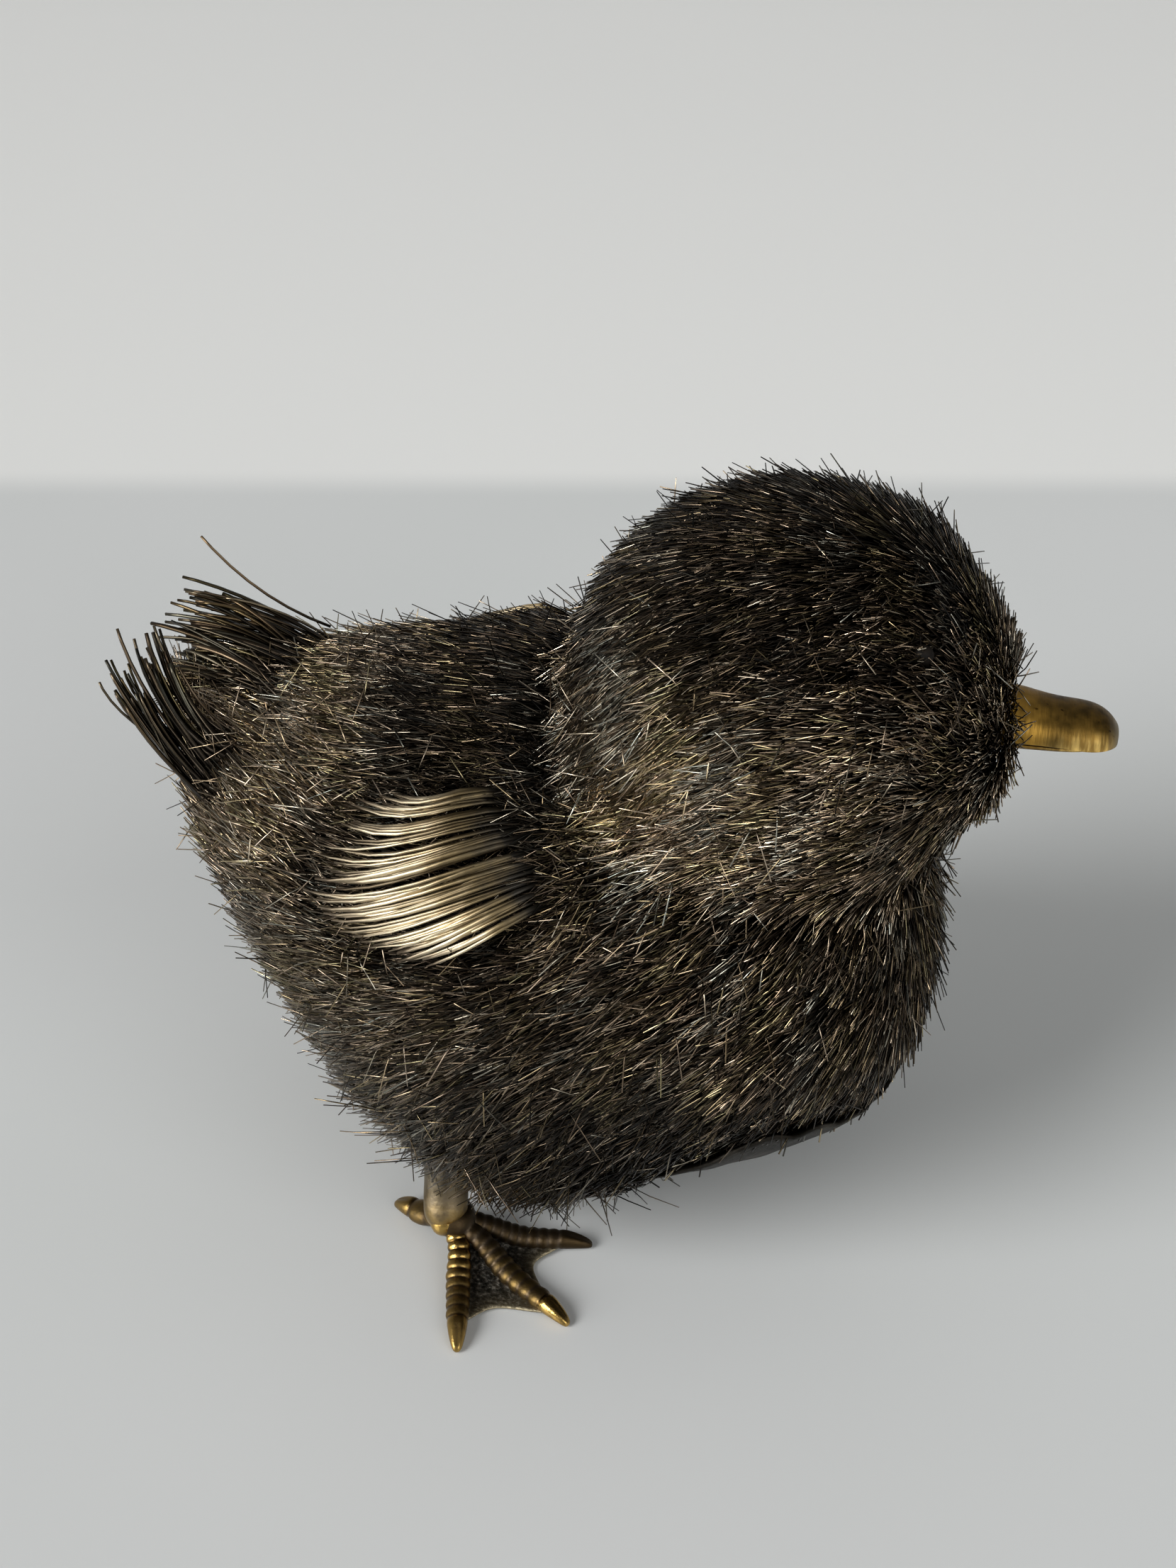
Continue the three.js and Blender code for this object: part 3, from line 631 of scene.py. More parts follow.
def slope_at(slopes, share, height):
    """The slopes' value at shares of the length and of the height."""
    rows = np.stack([np.interp(share, slopes["shares"], row) for row in slopes["rows"]])
    place = np.interp(height, slopes["heights"], range(len(rows)))
    row = np.minimum(place.astype(int), len(rows) - 2)
    lower, upper = (rows[r, np.arange(len(row))] for r in (row, row + 1))
    return lower + (upper - lower) * (place - row)


def shares_of(places, size):
    """How far places lie along a form's length and height, as shares from its rear and its bottom."""
    return ((places[:, 0] - size["rear"]) / size["length"], (places[:, 2] - size["bottom"]) / size["height"])


def body_flow(places, outward):
    share, height = shares_of(places, BODY)
    return in_surface(slanted(slope_at(BODY_SLOPES, share, height)), outward)


BILL_ROOT = np.array([HEAD["rear"] + HEAD["length"], middle_y, HEAD["bottom"] + 0.5 * HEAD["height"]])
BILL_CLEAR = 3.6

# What the zones of the head's coat change; the face's shine and dulled are those of the whole head's coat.
FACE = {"shorter": 1.5, "spread": 7.0, "steeper": 12.0, "shine": 0.24, "dulled": 1.0}
# The brightening at the back of the head is a painted highlight; the crown's darkening is painted shade.
PAINTED_NAPE_HIGHLIGHT = {"brighter": 0.42, "duller": -0.35}
PAINTED_CROWN_SHADE = {"darker": 0.4, "duller": 2.0}


def head_flow(places, outward):
    share, height = shares_of(places, HEAD)
    sideways = np.abs(outward[:, 1])
    climb = np.interp(height, (0.25, 0.45, 0.62), (-1.0, -0.2, 0.75))
    round_face = unit(np.stack([-sideways, np.sign(outward[:, 1]) * outward[:, 0], climb], -1))
    face = (blend(0.74, 0.92, share) * blend(0, 0.15, sideways))[:, None]
    return in_surface(slanted(slope_at(HEAD_SLOPES, share, height)) * (1 - face) + round_face * face, outward)


def coat_lines(root, outward, along, length, rise, droop, sway):
    """Centre lines that leave the sheet at an angle and bend back towards it."""
    run = np.array(ROUND_STATIONS)[None, :, None]
    ahead = along * np.cos(rise)[:, None] + outward * np.sin(rise)[:, None]
    aside = np.cross(outward, along)
    bend = aside * sway[:, None] - outward * droop[:, None]
    return root[:, None] + ahead[:, None] * (length[:, None, None] * run) + bend[:, None] * run**2


def painted_highlight_at(places):
    """How much painted highlight the wires get at places, the same on both sides."""
    mirrored = places * [1, 0, 1] + [0, middle_y, 0] - np.abs(places[:, 1:2] - middle_y) * [0, 1, 0]
    shares = [strength * np.exp(-(np.linalg.norm(mirrored - spot, axis=1) / reach) ** 2)
              for spot, reach, strength in PAINTED_HIGHLIGHT_PATCHES]
    return np.sum(shares, axis=0)


def coat_piece(word, number, form, other, flow, t, angle, length, rise, shine, dulled, spread, padding=0.0):
    """One strip's wires, rooted on a form at t and angle, astray from the flow by tufts and one by one."""
    count = len(t)
    outward = form.normal(t, angle)
    padded = COAT["root"] + (COAT["padding"] + padding) * RNG.random(count)
    root = form.point(t, angle) + outward * padded[:, None]
    crease = blend(CREASE["reach"], 0, -other.depth(root))
    outward = unit(outward + other.away(root) * crease[:, None] * CREASE["lean"])
    length = length + CREASE["longer"] * crease
    stray = RNG.random(count) < STRAYS["share"]
    rise = rise + CREASE["steeper"] * crease + STRAYS["steeper"] * stray
    spread = spread + CREASE["turned"] * crease + STRAYS["turned"] * stray
    tuft = (ripple(root, TUFTS["broad"], 0) + ripple(root, TUFTS["narrow"], 4)) * TUFTS["turn"]
    turn = np.radians(tuft + RNG.normal(0, 1, count) * spread)
    along = turned(flow(root, outward), outward, turn)
    lift = np.radians(rise + ripple(root, 4.0, 8) * 2 + RNG.normal(0, 2.5, count))
    length = length * RNG.uniform(COAT["shortest"], COAT["longest"], count)
    lines = coat_lines(root, outward, along, length, lift, RNG.uniform(0.0, COAT["droop"], count),
                       RNG.normal(0, COAT["sway"], count))
    half = (WIRE_RADIUS * RNG.uniform(0.8, 1.15, count))[:, None] * np.array([1.0, 1.0, 0.8])
    # The shine takes in the painted highlight patches, besides the zones' shine and random patches.
    shine = np.clip(shine + painted_highlight_at(root) + ripple(root, 12.0, 12) * 0.14, 0, 1)
    warmth = np.clip(0.55 + ripple(root, 10.0, 16) * 0.3 + RNG.normal(0, 0.15, count), 0, 1)
    wire_piece(f"{word}_wires_{number:02d}", lines, outward[:, None], half, half,
               (RNG.random(count) ** dulled, shine, warmth), ROUND_BLANK, "coat",
               fringe_nodes(f"{word}_fringe_{number:02d}"))


def beyond_plate(places):
    """Roughly how far low places lie beyond the belly plate's rim, in plan; high places lie far."""
    offset = places[:, :2] - [plate_middle_x, middle_y]
    share = np.hypot(offset[:, 0] / BELLY_PLATE["length"] * 2, offset[:, 1] / BELLY_PLATE["width"] * 2)
    low = places[:, 2] < BODY["bottom"] + BODY["height"] / 2
    return np.where(low, (1 - 1 / np.maximum(share, 1e-3)) * np.linalg.norm(offset, axis=1), 99.0)


def fringe_nodes(stem):
    """The strip's nodes in the frame: one, or a left and a right length."""
    return [n for n in sorted(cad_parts) if n in (stem, f"{stem}_left", f"{stem}_right")]


def strips(form, coat, free):
    """Each strip's number, with the t, the angle and the place of its wires where they are free to stand."""
    pitch = (coat["last"] - coat["first"]) / coat["strips"]
    edges = [coat["first"] + i * pitch for i in range(coat["strips"] + 1)]
    edges[0], edges[-1] = coat["poles"]
    for number, (first, last) in enumerate(zip(edges, edges[1:]), 1):
        t, angle = scattered(form, first, last, coat["density"])
        place = form.point(t, angle)
        kept = free(place)
        yield number, t[kept], angle[kept], place[kept]


def body_coat():
    """The body's wires: flatter under the wings and by the belly plate, shaggy low down, with a painted
    highlight aft and painted shade on the back and the flanks.
    """
    def free(place):
        return (beyond_plate(place) > PLATE_RIM["clear"]) & (head.depth(place) < -0.1)

    for number, t, angle, place in strips(body, BODY_COAT, free):
        share, height = shares_of(place, BODY)
        under_wing, wing_edge = (wing_cover(t, angle, *zone["run"]) for zone in (UNDER_WING, WING_EDGE))
        beyond = beyond_plate(place)
        by_plate = blend(PLATE_RIM["flat_from"], PLATE_RIM["flat_to"], beyond)
        skirt = blend(0.42, 0.2, height) * blend(0.2, 0.32, share) * blend(0.75, 0.6, share)
        # Masks of painted light: a highlight on the rump, shade on the saddle and on the flank.
        rump_highlight = blend(0.62, 0.12, share)
        saddle_shade = blend(0.85, 0.95, height) * blend(0.28, 0.4, share)
        flank_shade = blend(0.25, 0.42, share) * blend(0.8, 0.65, share) * blend(0.75, 0.6, height)
        length = (BODY_COAT["length"] - UNDER_WING["shorter"] * under_wing) * (
            1 - PLATE_RIM["shorter"] + PLATE_RIM["shorter"] * blend(0, PLATE_RIM["reach"], beyond))
        rise = (BODY_COAT["rise"] - CHEST["flatter"] * blend(0.8, 0.95, share)
                - UNDER_WING["flatter"] * under_wing + WING_EDGE["steeper"] * wing_edge
                + SKIRT["steeper"] * skirt) * (1 - PLATE_RIM["flatter"] * by_plate)
        shine = (CHEST["shine"] + PAINTED_RUMP_HIGHLIGHT["brighter"] * rump_highlight - PAINTED_SADDLE_SHADE["darker"] * saddle_shade
                 + SKIRT["brighter"] * skirt)
        dulled = (CHEST["dulled"] + PAINTED_RUMP_HIGHLIGHT["duller"] * rump_highlight + PAINTED_SADDLE_SHADE["duller"] * saddle_shade
                  + PAINTED_FLANK_SHADE["duller"] * flank_shade)
        coat_piece("body", number, body, head, body_flow, t, angle, length * (1 + SKIRT["longer"] * skirt),
                   rise, shine, dulled, BODY_COAT["spread"] + WING_EDGE["spread"] * wing_edge,
                   SKIRT["padding"] * skirt)


def head_coat():
    """The head's wires: shorter and looser on the face, with painted shade on the crown and a painted
    highlight at the back of the head.
    """
    def free(place):
        return (body.depth(place) < 0.1) & (np.linalg.norm(place - BILL_ROOT, axis=1) > BILL_CLEAR)

    for number, t, angle, place in strips(head, HEAD_COAT, free):
        share, height = shares_of(place, HEAD)
        front = blend(0.74, 0.98, share)
        # Masks of painted light: shade on the crown, a highlight at the back of the head.
        crown = blend(0.62, 0.95, height)
        nape_highlight = blend(0.45, 0.15, share)
        rise = HEAD_COAT["rise"] + FACE["steeper"] * blend(0.93, 1.0, share)
        shine = np.clip(FACE["shine"] + PAINTED_NAPE_HIGHLIGHT["brighter"] * nape_highlight - PAINTED_CROWN_SHADE["darker"] * crown, 0, 1)
        dulled = FACE["dulled"] + PAINTED_NAPE_HIGHLIGHT["duller"] * nape_highlight + PAINTED_CROWN_SHADE["duller"] * crown
        coat_piece("head", number, head, body, head_flow, t, angle,
                   HEAD_COAT["length"] - FACE["shorter"] * front, rise, shine, dulled,
                   HEAD_COAT["spread"] + FACE["spread"] * front)


# Wings

# Where the plumes start and end, by the plume's place u from the uppermost, 0, to the lowest, 1.
WING_ROOT = {"u": (0, 0.3, 0.6, 1), "t": (0.573, 0.547, 0.528, 0.522), "elevation": (55, 48, 40.5, 34)}
WING_TIP = {"u": (0, 0.15, 0.32, 0.5, 0.75, 1), "t": (0.65, 0.68, 0.697, 0.705, 0.66, 0.6),
            "elevation": (51, 45, 32, 20.5, 18, 19.5)}
WING = {"ribbons": 17, "plumes": 4, "half_width": 0.225, "half_sheet": 0.12, "root": 0.5, "lift": 2.1,
        "crown": 0.9}


def wing_line(u, run):
    """t and elevation of the wing's plume u at run, from root to tip."""
    u = u + 0 * run
    root, tip = (np.stack([np.interp(u, end["u"], end[key]) for key in ("t", "elevation")])
                 for end in (WING_ROOT, WING_TIP))
    return root * (1 - run) + tip * run


def wing_cover(t, angle, first, last):
    """From 0 to 1, how near a place of the body lies to a wing's plumes from first to last of their run."""
    degrees = np.degrees(np.mod(angle, 2 * math.pi))
    elevation = np.where(degrees < 90, degrees, 180 - degrees)
    grid = wing_line(np.linspace(0, 1, 12)[:, None], np.linspace(first, last, 8)).reshape(2, -1)
    gap = np.hypot((t[:, None] - grid[0]) * 110, (elevation[:, None] - grid[1]) * 0.45)
    return blend(4.0, 2.0, gap.min(axis=1))


def wings():
    run = np.array(FLAT_STATIONS)
    for word, side in SIDES.items():
        count = WING["ribbons"] * WING["plumes"]
        ribbon, plume = np.divmod(np.arange(count), WING["plumes"])
        closed = blend(-0.05, 0.3, ribbon / WING["ribbons"])
        packed = RNG.uniform(0.8, 1.0, WING["ribbons"])[ribbon] * (1 - closed) + closed
        own_place = (plume + RNG.uniform(-0.5, 0.5, count)) / (WING["plumes"] - 1) - 0.5
        pinched = (own_place * packed)[:, None] * (1 - 0.5 * blend(0.5, 1, run))
        along_wing = np.clip((ribbon[:, None] + 0.5 + pinched) / WING["ribbons"], 0, 1)
        u = along_wing[:, 0]
        t, elevation = wing_line(along_wing, run)
        t = t + RNG.normal(0, 0.01, count)[:, None] * run
        sag = -(0.2 + 2.6 * blend(0.55, 0.1, along_wing)) * np.sin(run**1.3 * math.pi)
        elevation = elevation + RNG.normal(0, 0.7, count)[:, None] + sag
        angle = around(side, elevation)
        layer = RNG.uniform(-0.35, 0.3, count)[:, None]
        arch = WING["crown"] * np.sin(run * math.pi) - 0.6 * run**3
        sunk = -1.0 * blend(0.16, 0, u)[:, None]
        lines = body.skin(t, angle, WING["root"] + WING["lift"] * blend(-0.1, 0.3, run) + arch + layer + sunk)
        outward = body.normal(t, angle)
        across = unit(np.cross(np.gradient(lines, axis=1), outward))
        outward = unit(outward + across * RNG.normal(0, 0.25, count)[:, None, None])
        taper = np.interp(run, [0, 0.2, 0.75, 1], [0.8, 1, 0.85, 0.3])
        half_width = WING["half_width"] * RNG.uniform(0.6, 1.5, count)[:, None] * taper
        shine = np.clip(0.2 + 0.5 * blend(0.3, 0.9, u) + RNG.normal(0, 0.25, count), 0, 1)
        wire_piece(f"wing_plumes_{word}", lines, outward, half_width, WING["half_sheet"],
                   (RNG.random(count), shine, RNG.random(count)), FLAT_BLANK, "plume",
                   [f"wing_{word}"])


# Tail

TAIL = {"strands": 4, "half_width": 0.3, "half_sheet": 0.17}
# For each tuft: its upper and lower root as t and elevation, its upper and lower tip, its locks; where its
# strands bend, as shares of their length; how high they lie, arch and hook up; the span of their shine.
TUFT = {
    "right": {"roots": ((0.85, 48.0), (0.9, 4.0)), "tips": ((-40.0, -6.0, 62.5), (-47.0, -8.0, 59.0)),
              "locks": 12, "share": (0.6, 0.85), "lift": 1.4, "arch": 0.5, "hook": 6.0, "shine": (0.0, 0.3)},
    "left": {"roots": ((0.78, 72.0), (0.85, 116.0)), "tips": ((-42.0, 4.5, 62.6), (-43.0, 0.5, 56.0)),
             "locks": 24, "share": (0.4, 0.6), "lift": 0.8, "arch": 1.9, "hook": 0.5, "shine": (0.1, 0.8)},
}
TAIL_CURL = {"tip": (-39.7, 4.0, 68.6), "bend": (-34.8, 4.0, 62.3), "root": (-27.5, 4.0, 60.0)}


def tail_tufts():
    """Two tufts of strands in locks that turn up at their ends; the left one has a single long curl."""
    run = np.array(FLAT_STATIONS)
    shares = [w[None, :, None] for w in ((1 - run) ** 2, 2 * run * (1 - run), run**2)]
    for word, side in SIDES.items():
        tuft = TUFT[word]
        count = tuft["locks"] * TAIL["strands"]
        lock = np.arange(count) // TAIL["strands"]
        u = np.clip((np.arange(count) + RNG.uniform(-0.6, 0.6, count)) / (count - 1), 0, 1)
        t, elevation = (high + u * (low - high) for high, low in zip(*tuft["roots"]))
        t = t + RNG.uniform(-0.03, 0.03, count)
        angle = around(side, elevation + RNG.uniform(-5, 5, count))
        lift = tuft["lift"] + RNG.uniform(-0.8, 0.6, count)
        root = body.skin(t, angle, lift)
        outward = body.normal(t, angle)
        upper, lower = np.array(tuft["tips"])
        astray = RNG.uniform(-1, 1, (tuft["locks"], 3))[lock] * [1.6, 1.6, 1.7]
        gathered = 0.35 * u + 0.65 * (lock + 0.5) / tuft["locks"]
        tip = upper + gathered[:, None] * (lower - upper) + astray + RNG.uniform(-1, 1, (count, 3)) * 0.9
        tip = root + (tip - root) * RNG.uniform(0.72, 1.04, count)[:, None]
        hook = tuft["hook"] * (1 - 0.85 * u) * RNG.uniform(0.5, 1.3, count)
        bend = root + (tip - root) * RNG.uniform(*tuft["share"], count)[:, None] + outward * tuft["arch"]
        bend[:, 2] -= hook
        if word == "left":
            root[0], bend[0], tip[0] = (TAIL_CURL[place] for place in ("root", "bend", "tip"))
        lines = sum(w * p[:, None] for w, p in zip(shares, (root, bend, tip)))
        taper = np.interp(run, [0, 0.8, 1], [1, 0.9, 0.5])
        half_width = TAIL["half_width"] * RNG.uniform(0.45, 1.25, count)[:, None] * taper
        own = RNG.random(count), RNG.uniform(*tuft["shine"], count), RNG.random(count)
        wire_piece(f"tail_tuft_{word}", lines, outward[:, None], half_width, TAIL["half_sheet"], own,
                   FLAT_BLANK, "tail", [f"tail_{word}"])


# Eyes

BEAD_SHARE = 0.7


def eyes():
    """Small beads, almost lost in the coat."""
    for word in SIDES:
        low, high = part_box(f"eye_{word}")
        bm = bmesh.new()
        bmesh.ops.create_icosphere(bm, subdivisions=4, radius=(high.z - low.z) / 2 / MM * BEAD_SHARE,
                                   matrix=Matrix.Translation((low + high) / 2 / MM))
        piece_from(bm, f"eye_bead_{word}", "bead", [f"eye_{word}"])


# Bill

BILL = {"length": 10.0, "half_width": 4.3, "crown": 3.3, "keel": 1.4, "undershot": 1.4, "tenon": 3.2,
        "rise": 1.1, "droop": 5.0}
UPPER_BILL = [(0, 1, 1), (0.2, 0.93, 0.89), (0.42, 0.87, 0.81), (0.6, 0.88, 0.83), (0.76, 0.84, 0.81),
              (0.88, 0.7, 0.66), (0.96, 0.5, 0.44), (1, 0.32, 0.28)]
LOWER_BILL = [(0, 0.92, 1), (0.3, 0.82, 0.88), (0.65, 0.76, 0.7), (0.9, 0.58, 0.55), (1, 0.24, 0.25)]


def bill_half(name, rows, length, height, node):
    """One half of the bill: rings of a flat-bottomed section, drawn from the tenon to the tip."""
    base = head.section(np.array([0.0]))[0][0]
    place = (Matrix.Translation((base[0], middle_y, base[1] + BILL["rise"])) @
             Matrix.Rotation(math.radians(BILL["droop"]), 4, "Y"))
    rows = [(-BILL["tenon"] / length, rows[0][1] * 0.8, rows[0][2] * 0.8)] + rows
    stations = [place @ station((along * length, 0, 0), (1, 0, 0), (0, 0, 1), wide * BILL["half_width"],
                                abs(high * height)) for along, wide, high in rows]
    bm = bmesh.new()
    wear = bm.verts.layers.float_color.new("wear")
    rings = draw_bar(bm, 24, stations)
    inverse = place.inverted()
    upwards = math.copysign(1, height)
    for ring, (along, _, _) in zip(rings, rows):
        past_base, at_base, at_tip = (float(blend(*span, np.array(along)))
                                      for span in ((0.35, 0.6), (0.4, 0.1), (0.88, 1.0)))
        for vertex in ring:
            own = inverse @ vertex.co
            edge = own.z * upwards
            own.z = upwards * (0.15 + max(edge, 0))
            low = 1 - min(1, max(edge, 0) / (0.45 * abs(height)))
            vertex[wear] = (low * past_base, at_base, at_tip, 1.0)
            vertex.co = place @ own
    bmesh.ops.remove_doubles(bm, verts=bm.verts, dist=0.01)
    piece_from(bm, name, "bill", [node], levels=2)


def bill():
    bill_half("bill_upper_half", UPPER_BILL, BILL["length"], BILL["crown"], "bill_upper")
    bill_half("bill_lower_half", LOWER_BILL, BILL["length"] - BILL["undershot"], -BILL["keel"], "bill_lower")


# Legs and feet

FOOT = {"middle_toe": 16.0, "outer_toe": 14.7, "inner_toe": 13.7, "hind_toe": 8.8, "spread": 43.0,
        "hind_turn": 8.0, "toe_radius": 1.32, "bare": 0.22, "claw": 3.5, "scutes": 9, "ankle": 3.4,
        "thickest": 2.1}
SHANK = {"radius": 2.25, "hip_radius": 2.7, "tenon": 3.5, "wall": 1.2, "knuckle": 2.35, "behind": 1.2}
LEGS = {
    "right": {"t": 0.61, "elevation": -58.0, "stride": 1.6, "straddle": 3.2, "heading": -35.0},
    "left": {"t": 0.54, "elevation": -58.0, "stride": 7.5, "straddle": 3.0, "heading": 20.0},
}
# The bare instep as (share of it, swell, groove).
INSTEP = ((0.0, 3.2, 0.1), (0.3, 2.8, 0.1), (0.65, 2.1, 0.1), (0.9, 1.5, 0.3))
# A scute as (place in it, swell, groove); a claw as (share, half-width, half-height, height of its middle).
SCUTE = ((0.0, 0.88, 1.0), (0.25, 0.99, 0.25), (0.6, 1.04, 0.0), (0.85, 0.98, 0.3))
CLAW = ((0.0, 1.0, 0.85, 1.05), (0.08, 1.1, 1.0, 1.15), (0.35, 0.98, 0.92, 1.05), (0.7, 0.74, 0.66, 0.8),
        (0.92, 0.5, 0.45, 0.55), (1.0, 0.25, 0.22, 0.4))
# How browned each toe is at its root, at its end and on its claw, from the outer toe to the inner one.
BROWNED = ((0.0, 0.6, 0.3), (0.97, 0.75, 0.0), (0.97, 0.97, 0.97))


def leg_places(word):
    """Where a leg enters the body, and its ankle."""
    leg, side = LEGS[word], SIDES[word]
    entry = Vector(body.point(np.array(leg["t"]), np.array(around(side, leg["elevation"]))))
    return entry, Vector((entry.x + leg["stride"], entry.y + side * leg["straddle"], FOOT["ankle"]))


def knuckle(word):
    """The middle of the swelling above the toes."""
    _, ankle = leg_places(word)
    return ankle + Vector((-SHANK["behind"], SIDES[word] * 0.4, 1.5))


def draw_toe(bm, wear, word, heading, length, scutes, browned, girth=1.0, lift=0.0):
    """A toe: bare over the instep, ringed with scutes, ending in a blunt claw grooved on top."""
    _, root = leg_places(word)
    ahead = np.array([math.cos(heading), math.sin(heading), 0.0])
    claw = FOOT["claw"] * min(1.0, length / FOOT["hind_toe"] - 0.25)
    reach = length - claw

    def at(run, z):
        return np.array([root.x, root.y, z]) + ahead * run

    shaft = np.array([knuckle(word), at(length * 0.2, 3.0 + lift), at(length * 0.45, 1.4 + 1.4 * lift),
                      at(reach, 1.1 + lift)])
    bare = FOOT["bare"]
    rows = [(bare * share, swell, groove) for share, swell, groove in INSTEP]
    rows += [(bare + (1 - bare) * (i + within) / scutes, swell, groove)
             for i in range(scutes) for within, swell, groove in SCUTE]
    stations, marks = [], []
    for u, swell, groove in rows:
        onward = centripetal(shaft, np.array(u + 0.01)) - centripetal(shaft, np.array(u - 0.01))
        taper = float(np.interp(u, (0, 0.6, 1), (0.72, 1, 0.88)))
        size = min(FOOT["thickest"], FOOT["toe_radius"] * swell * girth * taper)
        stations.append(station(centripetal(shaft, np.array(u)), onward, (0, 0, 1), size, size * 0.78))
        marks.append((groove, browned[0] + (browned[1] - browned[0]) * float(blend(0.35, 0.8, np.array(u)))))
    for share, half_width, half_height, z in CLAW:
        centre = at(reach + claw * share, z + lift)
        stations.append(station(centre, (ahead[0], ahead[1], -0.1), (0, 0, 1), half_width * girth**0.5,
                                half_height * girth**0.5))
        marks.append((1.0 if share == 0 else 0.05, browned[2]))
    rings = draw_bar(bm, 14, stations)
    for ring, (groove, brown) in zip(rings, marks):
        for vertex in ring:
            vertex[wear] = (groove, 0.0, brown, 1.0)
    for ring, (_, half_width, _, z) in zip(rings[-4:-1], CLAW[2:-1]):
        middle = sum((v.co for v in ring), Vector()) / len(ring)
        for vertex in ring:
            across = (vertex.co - middle).dot(Vector((-ahead[1], ahead[0], 0)))
            if vertex.co.z > z + lift and abs(across) < 0.3 * half_width:
                vertex.co.z -= 0.3 * half_width
                vertex[wear] = (0.6, 0.0, max(browned[2], 0.3), 1.0)


def draw_shank(bm, wear, word):
    """The shank, from its tenon in the body to the knuckle, silvered above."""
    entry, _ = leg_places(word)
    hip = entry + Vector((0, 0, SHANK["wall"] + SHANK["tenon"]))
    swelling = knuckle(word)
    radius, wide = SHANK["radius"], SHANK["knuckle"]
    rows = [(hip, SHANK["hip_radius"], 1), (entry, SHANK["hip_radius"], 1),
            (entry.lerp(swelling, 0.3), radius * 1.1, 1), (entry.lerp(swelling, 0.6), radius, 0.95),
            (entry.lerp(swelling, 0.78), radius * 1.05, 0.85),
            (swelling + Vector((0, 0, 1.2)), wide * 0.97, 0.6), (swelling, wide, 0.3),
            (swelling - Vector((0, 0, 1.2)), wide * 0.8, 0.05),
            (swelling - Vector((0, 0, 2.2)), wide * 0.4, 0)]
    stations = [station(centre, (0, 0, -1), (1, 0, 0), size, size) for centre, size, _ in rows]
    rings = draw_bar(bm, 18, stations)
    for ring, (_, _, silvered) in zip(rings, rows):
        for vertex in ring:
            vertex[wear] = (0.1, silvered, 0.0, 1.0)


def toe_headings(word):
    """Headings and lengths of the three front toes, from the outer one to the inner one."""
    middle = math.radians(LEGS[word]["heading"])
    spread = math.radians(FOOT["spread"]) * SIDES[word]
    return [(middle + spread, FOOT["outer_toe"]), (middle, FOOT["middle_toe"]),
            (middle - spread, FOOT["inner_toe"])]


def feet():
    for word, side in SIDES.items():
        bm = bmesh.new()
        wear = bm.verts.layers.float_color.new("wear")
        draw_shank(bm, wear, word)
        for (heading, length), browned in zip(toe_headings(word), BROWNED):
            draw_toe(bm, wear, word, heading, length, FOOT["scutes"], browned)
        hind = math.radians(LEGS[word]["heading"] - side * FOOT["hind_turn"]) + math.pi
        draw_toe(bm, wear, word, hind, FOOT["hind_toe"], 2, (0.45, 0.7, 0.5), 1.2, 0.35)
        piece_from(bm, f"foot_{word}", "foot", [f"leg_{word}"], levels=1)
        webs(word)


# A web as the shares of its two toes' lengths that it reaches, and how deeply its front edge is hollowed.
WEBS = {"outer": (0.8, 0.9, 0.24), "inner": (0.84, 0.82, 0.32)}
# A web's sheet, how far from the ankle it starts, its height in front and behind, how far it sags.
WEB = {"sheet": 0.35, "start": 0.4, "low": 0.75, "climb": 2.0, "sag": 0.35, "lip": 0.15}


def webs(word):
    """The two webs of a foot, hung between neighbouring toes, hollow between them and scalloped in front."""
    _, root = leg_places(word)
    toes = toe_headings(word)
    for (part, (first, last, hollowed)), (heading, length), (next_heading, next_length) in zip(
            WEBS.items(), toes, toes[1:]):
        bm = bmesh.new()
        rim = bm.verts.layers.float.new("rim")
        bmesh.ops.create_grid(bm, x_segments=14, y_segments=12, size=1)
        for vertex in bm.verts:
            across, along = (vertex.co.x + 1) / 2, (vertex.co.y + 1) / 2
            turn = heading + (next_heading - heading) * across
            end = length * first * (1 - across) + next_length * last * across
            run = WEB["start"] + along * (end * (1 - hollowed * math.sin(math.pi * across)) - WEB["start"])
            sag = WEB["sag"] * math.sin(math.pi * across) * along
            z = WEB["low"] + WEB["climb"] * (1 - along) ** 2 - sag + WEB["lip"] * along**8
            vertex.co = (root.x + run * math.cos(turn), root.y + run * math.sin(turn), z)
            vertex[rim] = along**10
        bmesh.ops.recalc_face_normals(bm, faces=bm.faces)
        bmesh.ops.solidify(bm, geom=bm.faces[:], thickness=WEB["sheet"])
        piece_from(bm, f"web_{part}_{word}", "web", [f"leg_{word}"], levels=1)


# Belly plate

RIM_WIRES = {"count": 420, "radius": 0.09}


def underside(x, y):
    """Height of the body's underside at a place, found by halving."""
    low = np.full(len(x), BODY["bottom"] - 3.0)
    high = np.full(len(x), BODY["bottom"] + BODY["height"] / 2)
    for _ in range(22):
        half = (low + high) / 2
        inside = body.depth(np.stack([x, y, half], -1)) > 0
        low, high = np.where(inside, low, half), np.where(inside, half, high)
    return (low + high) / 2


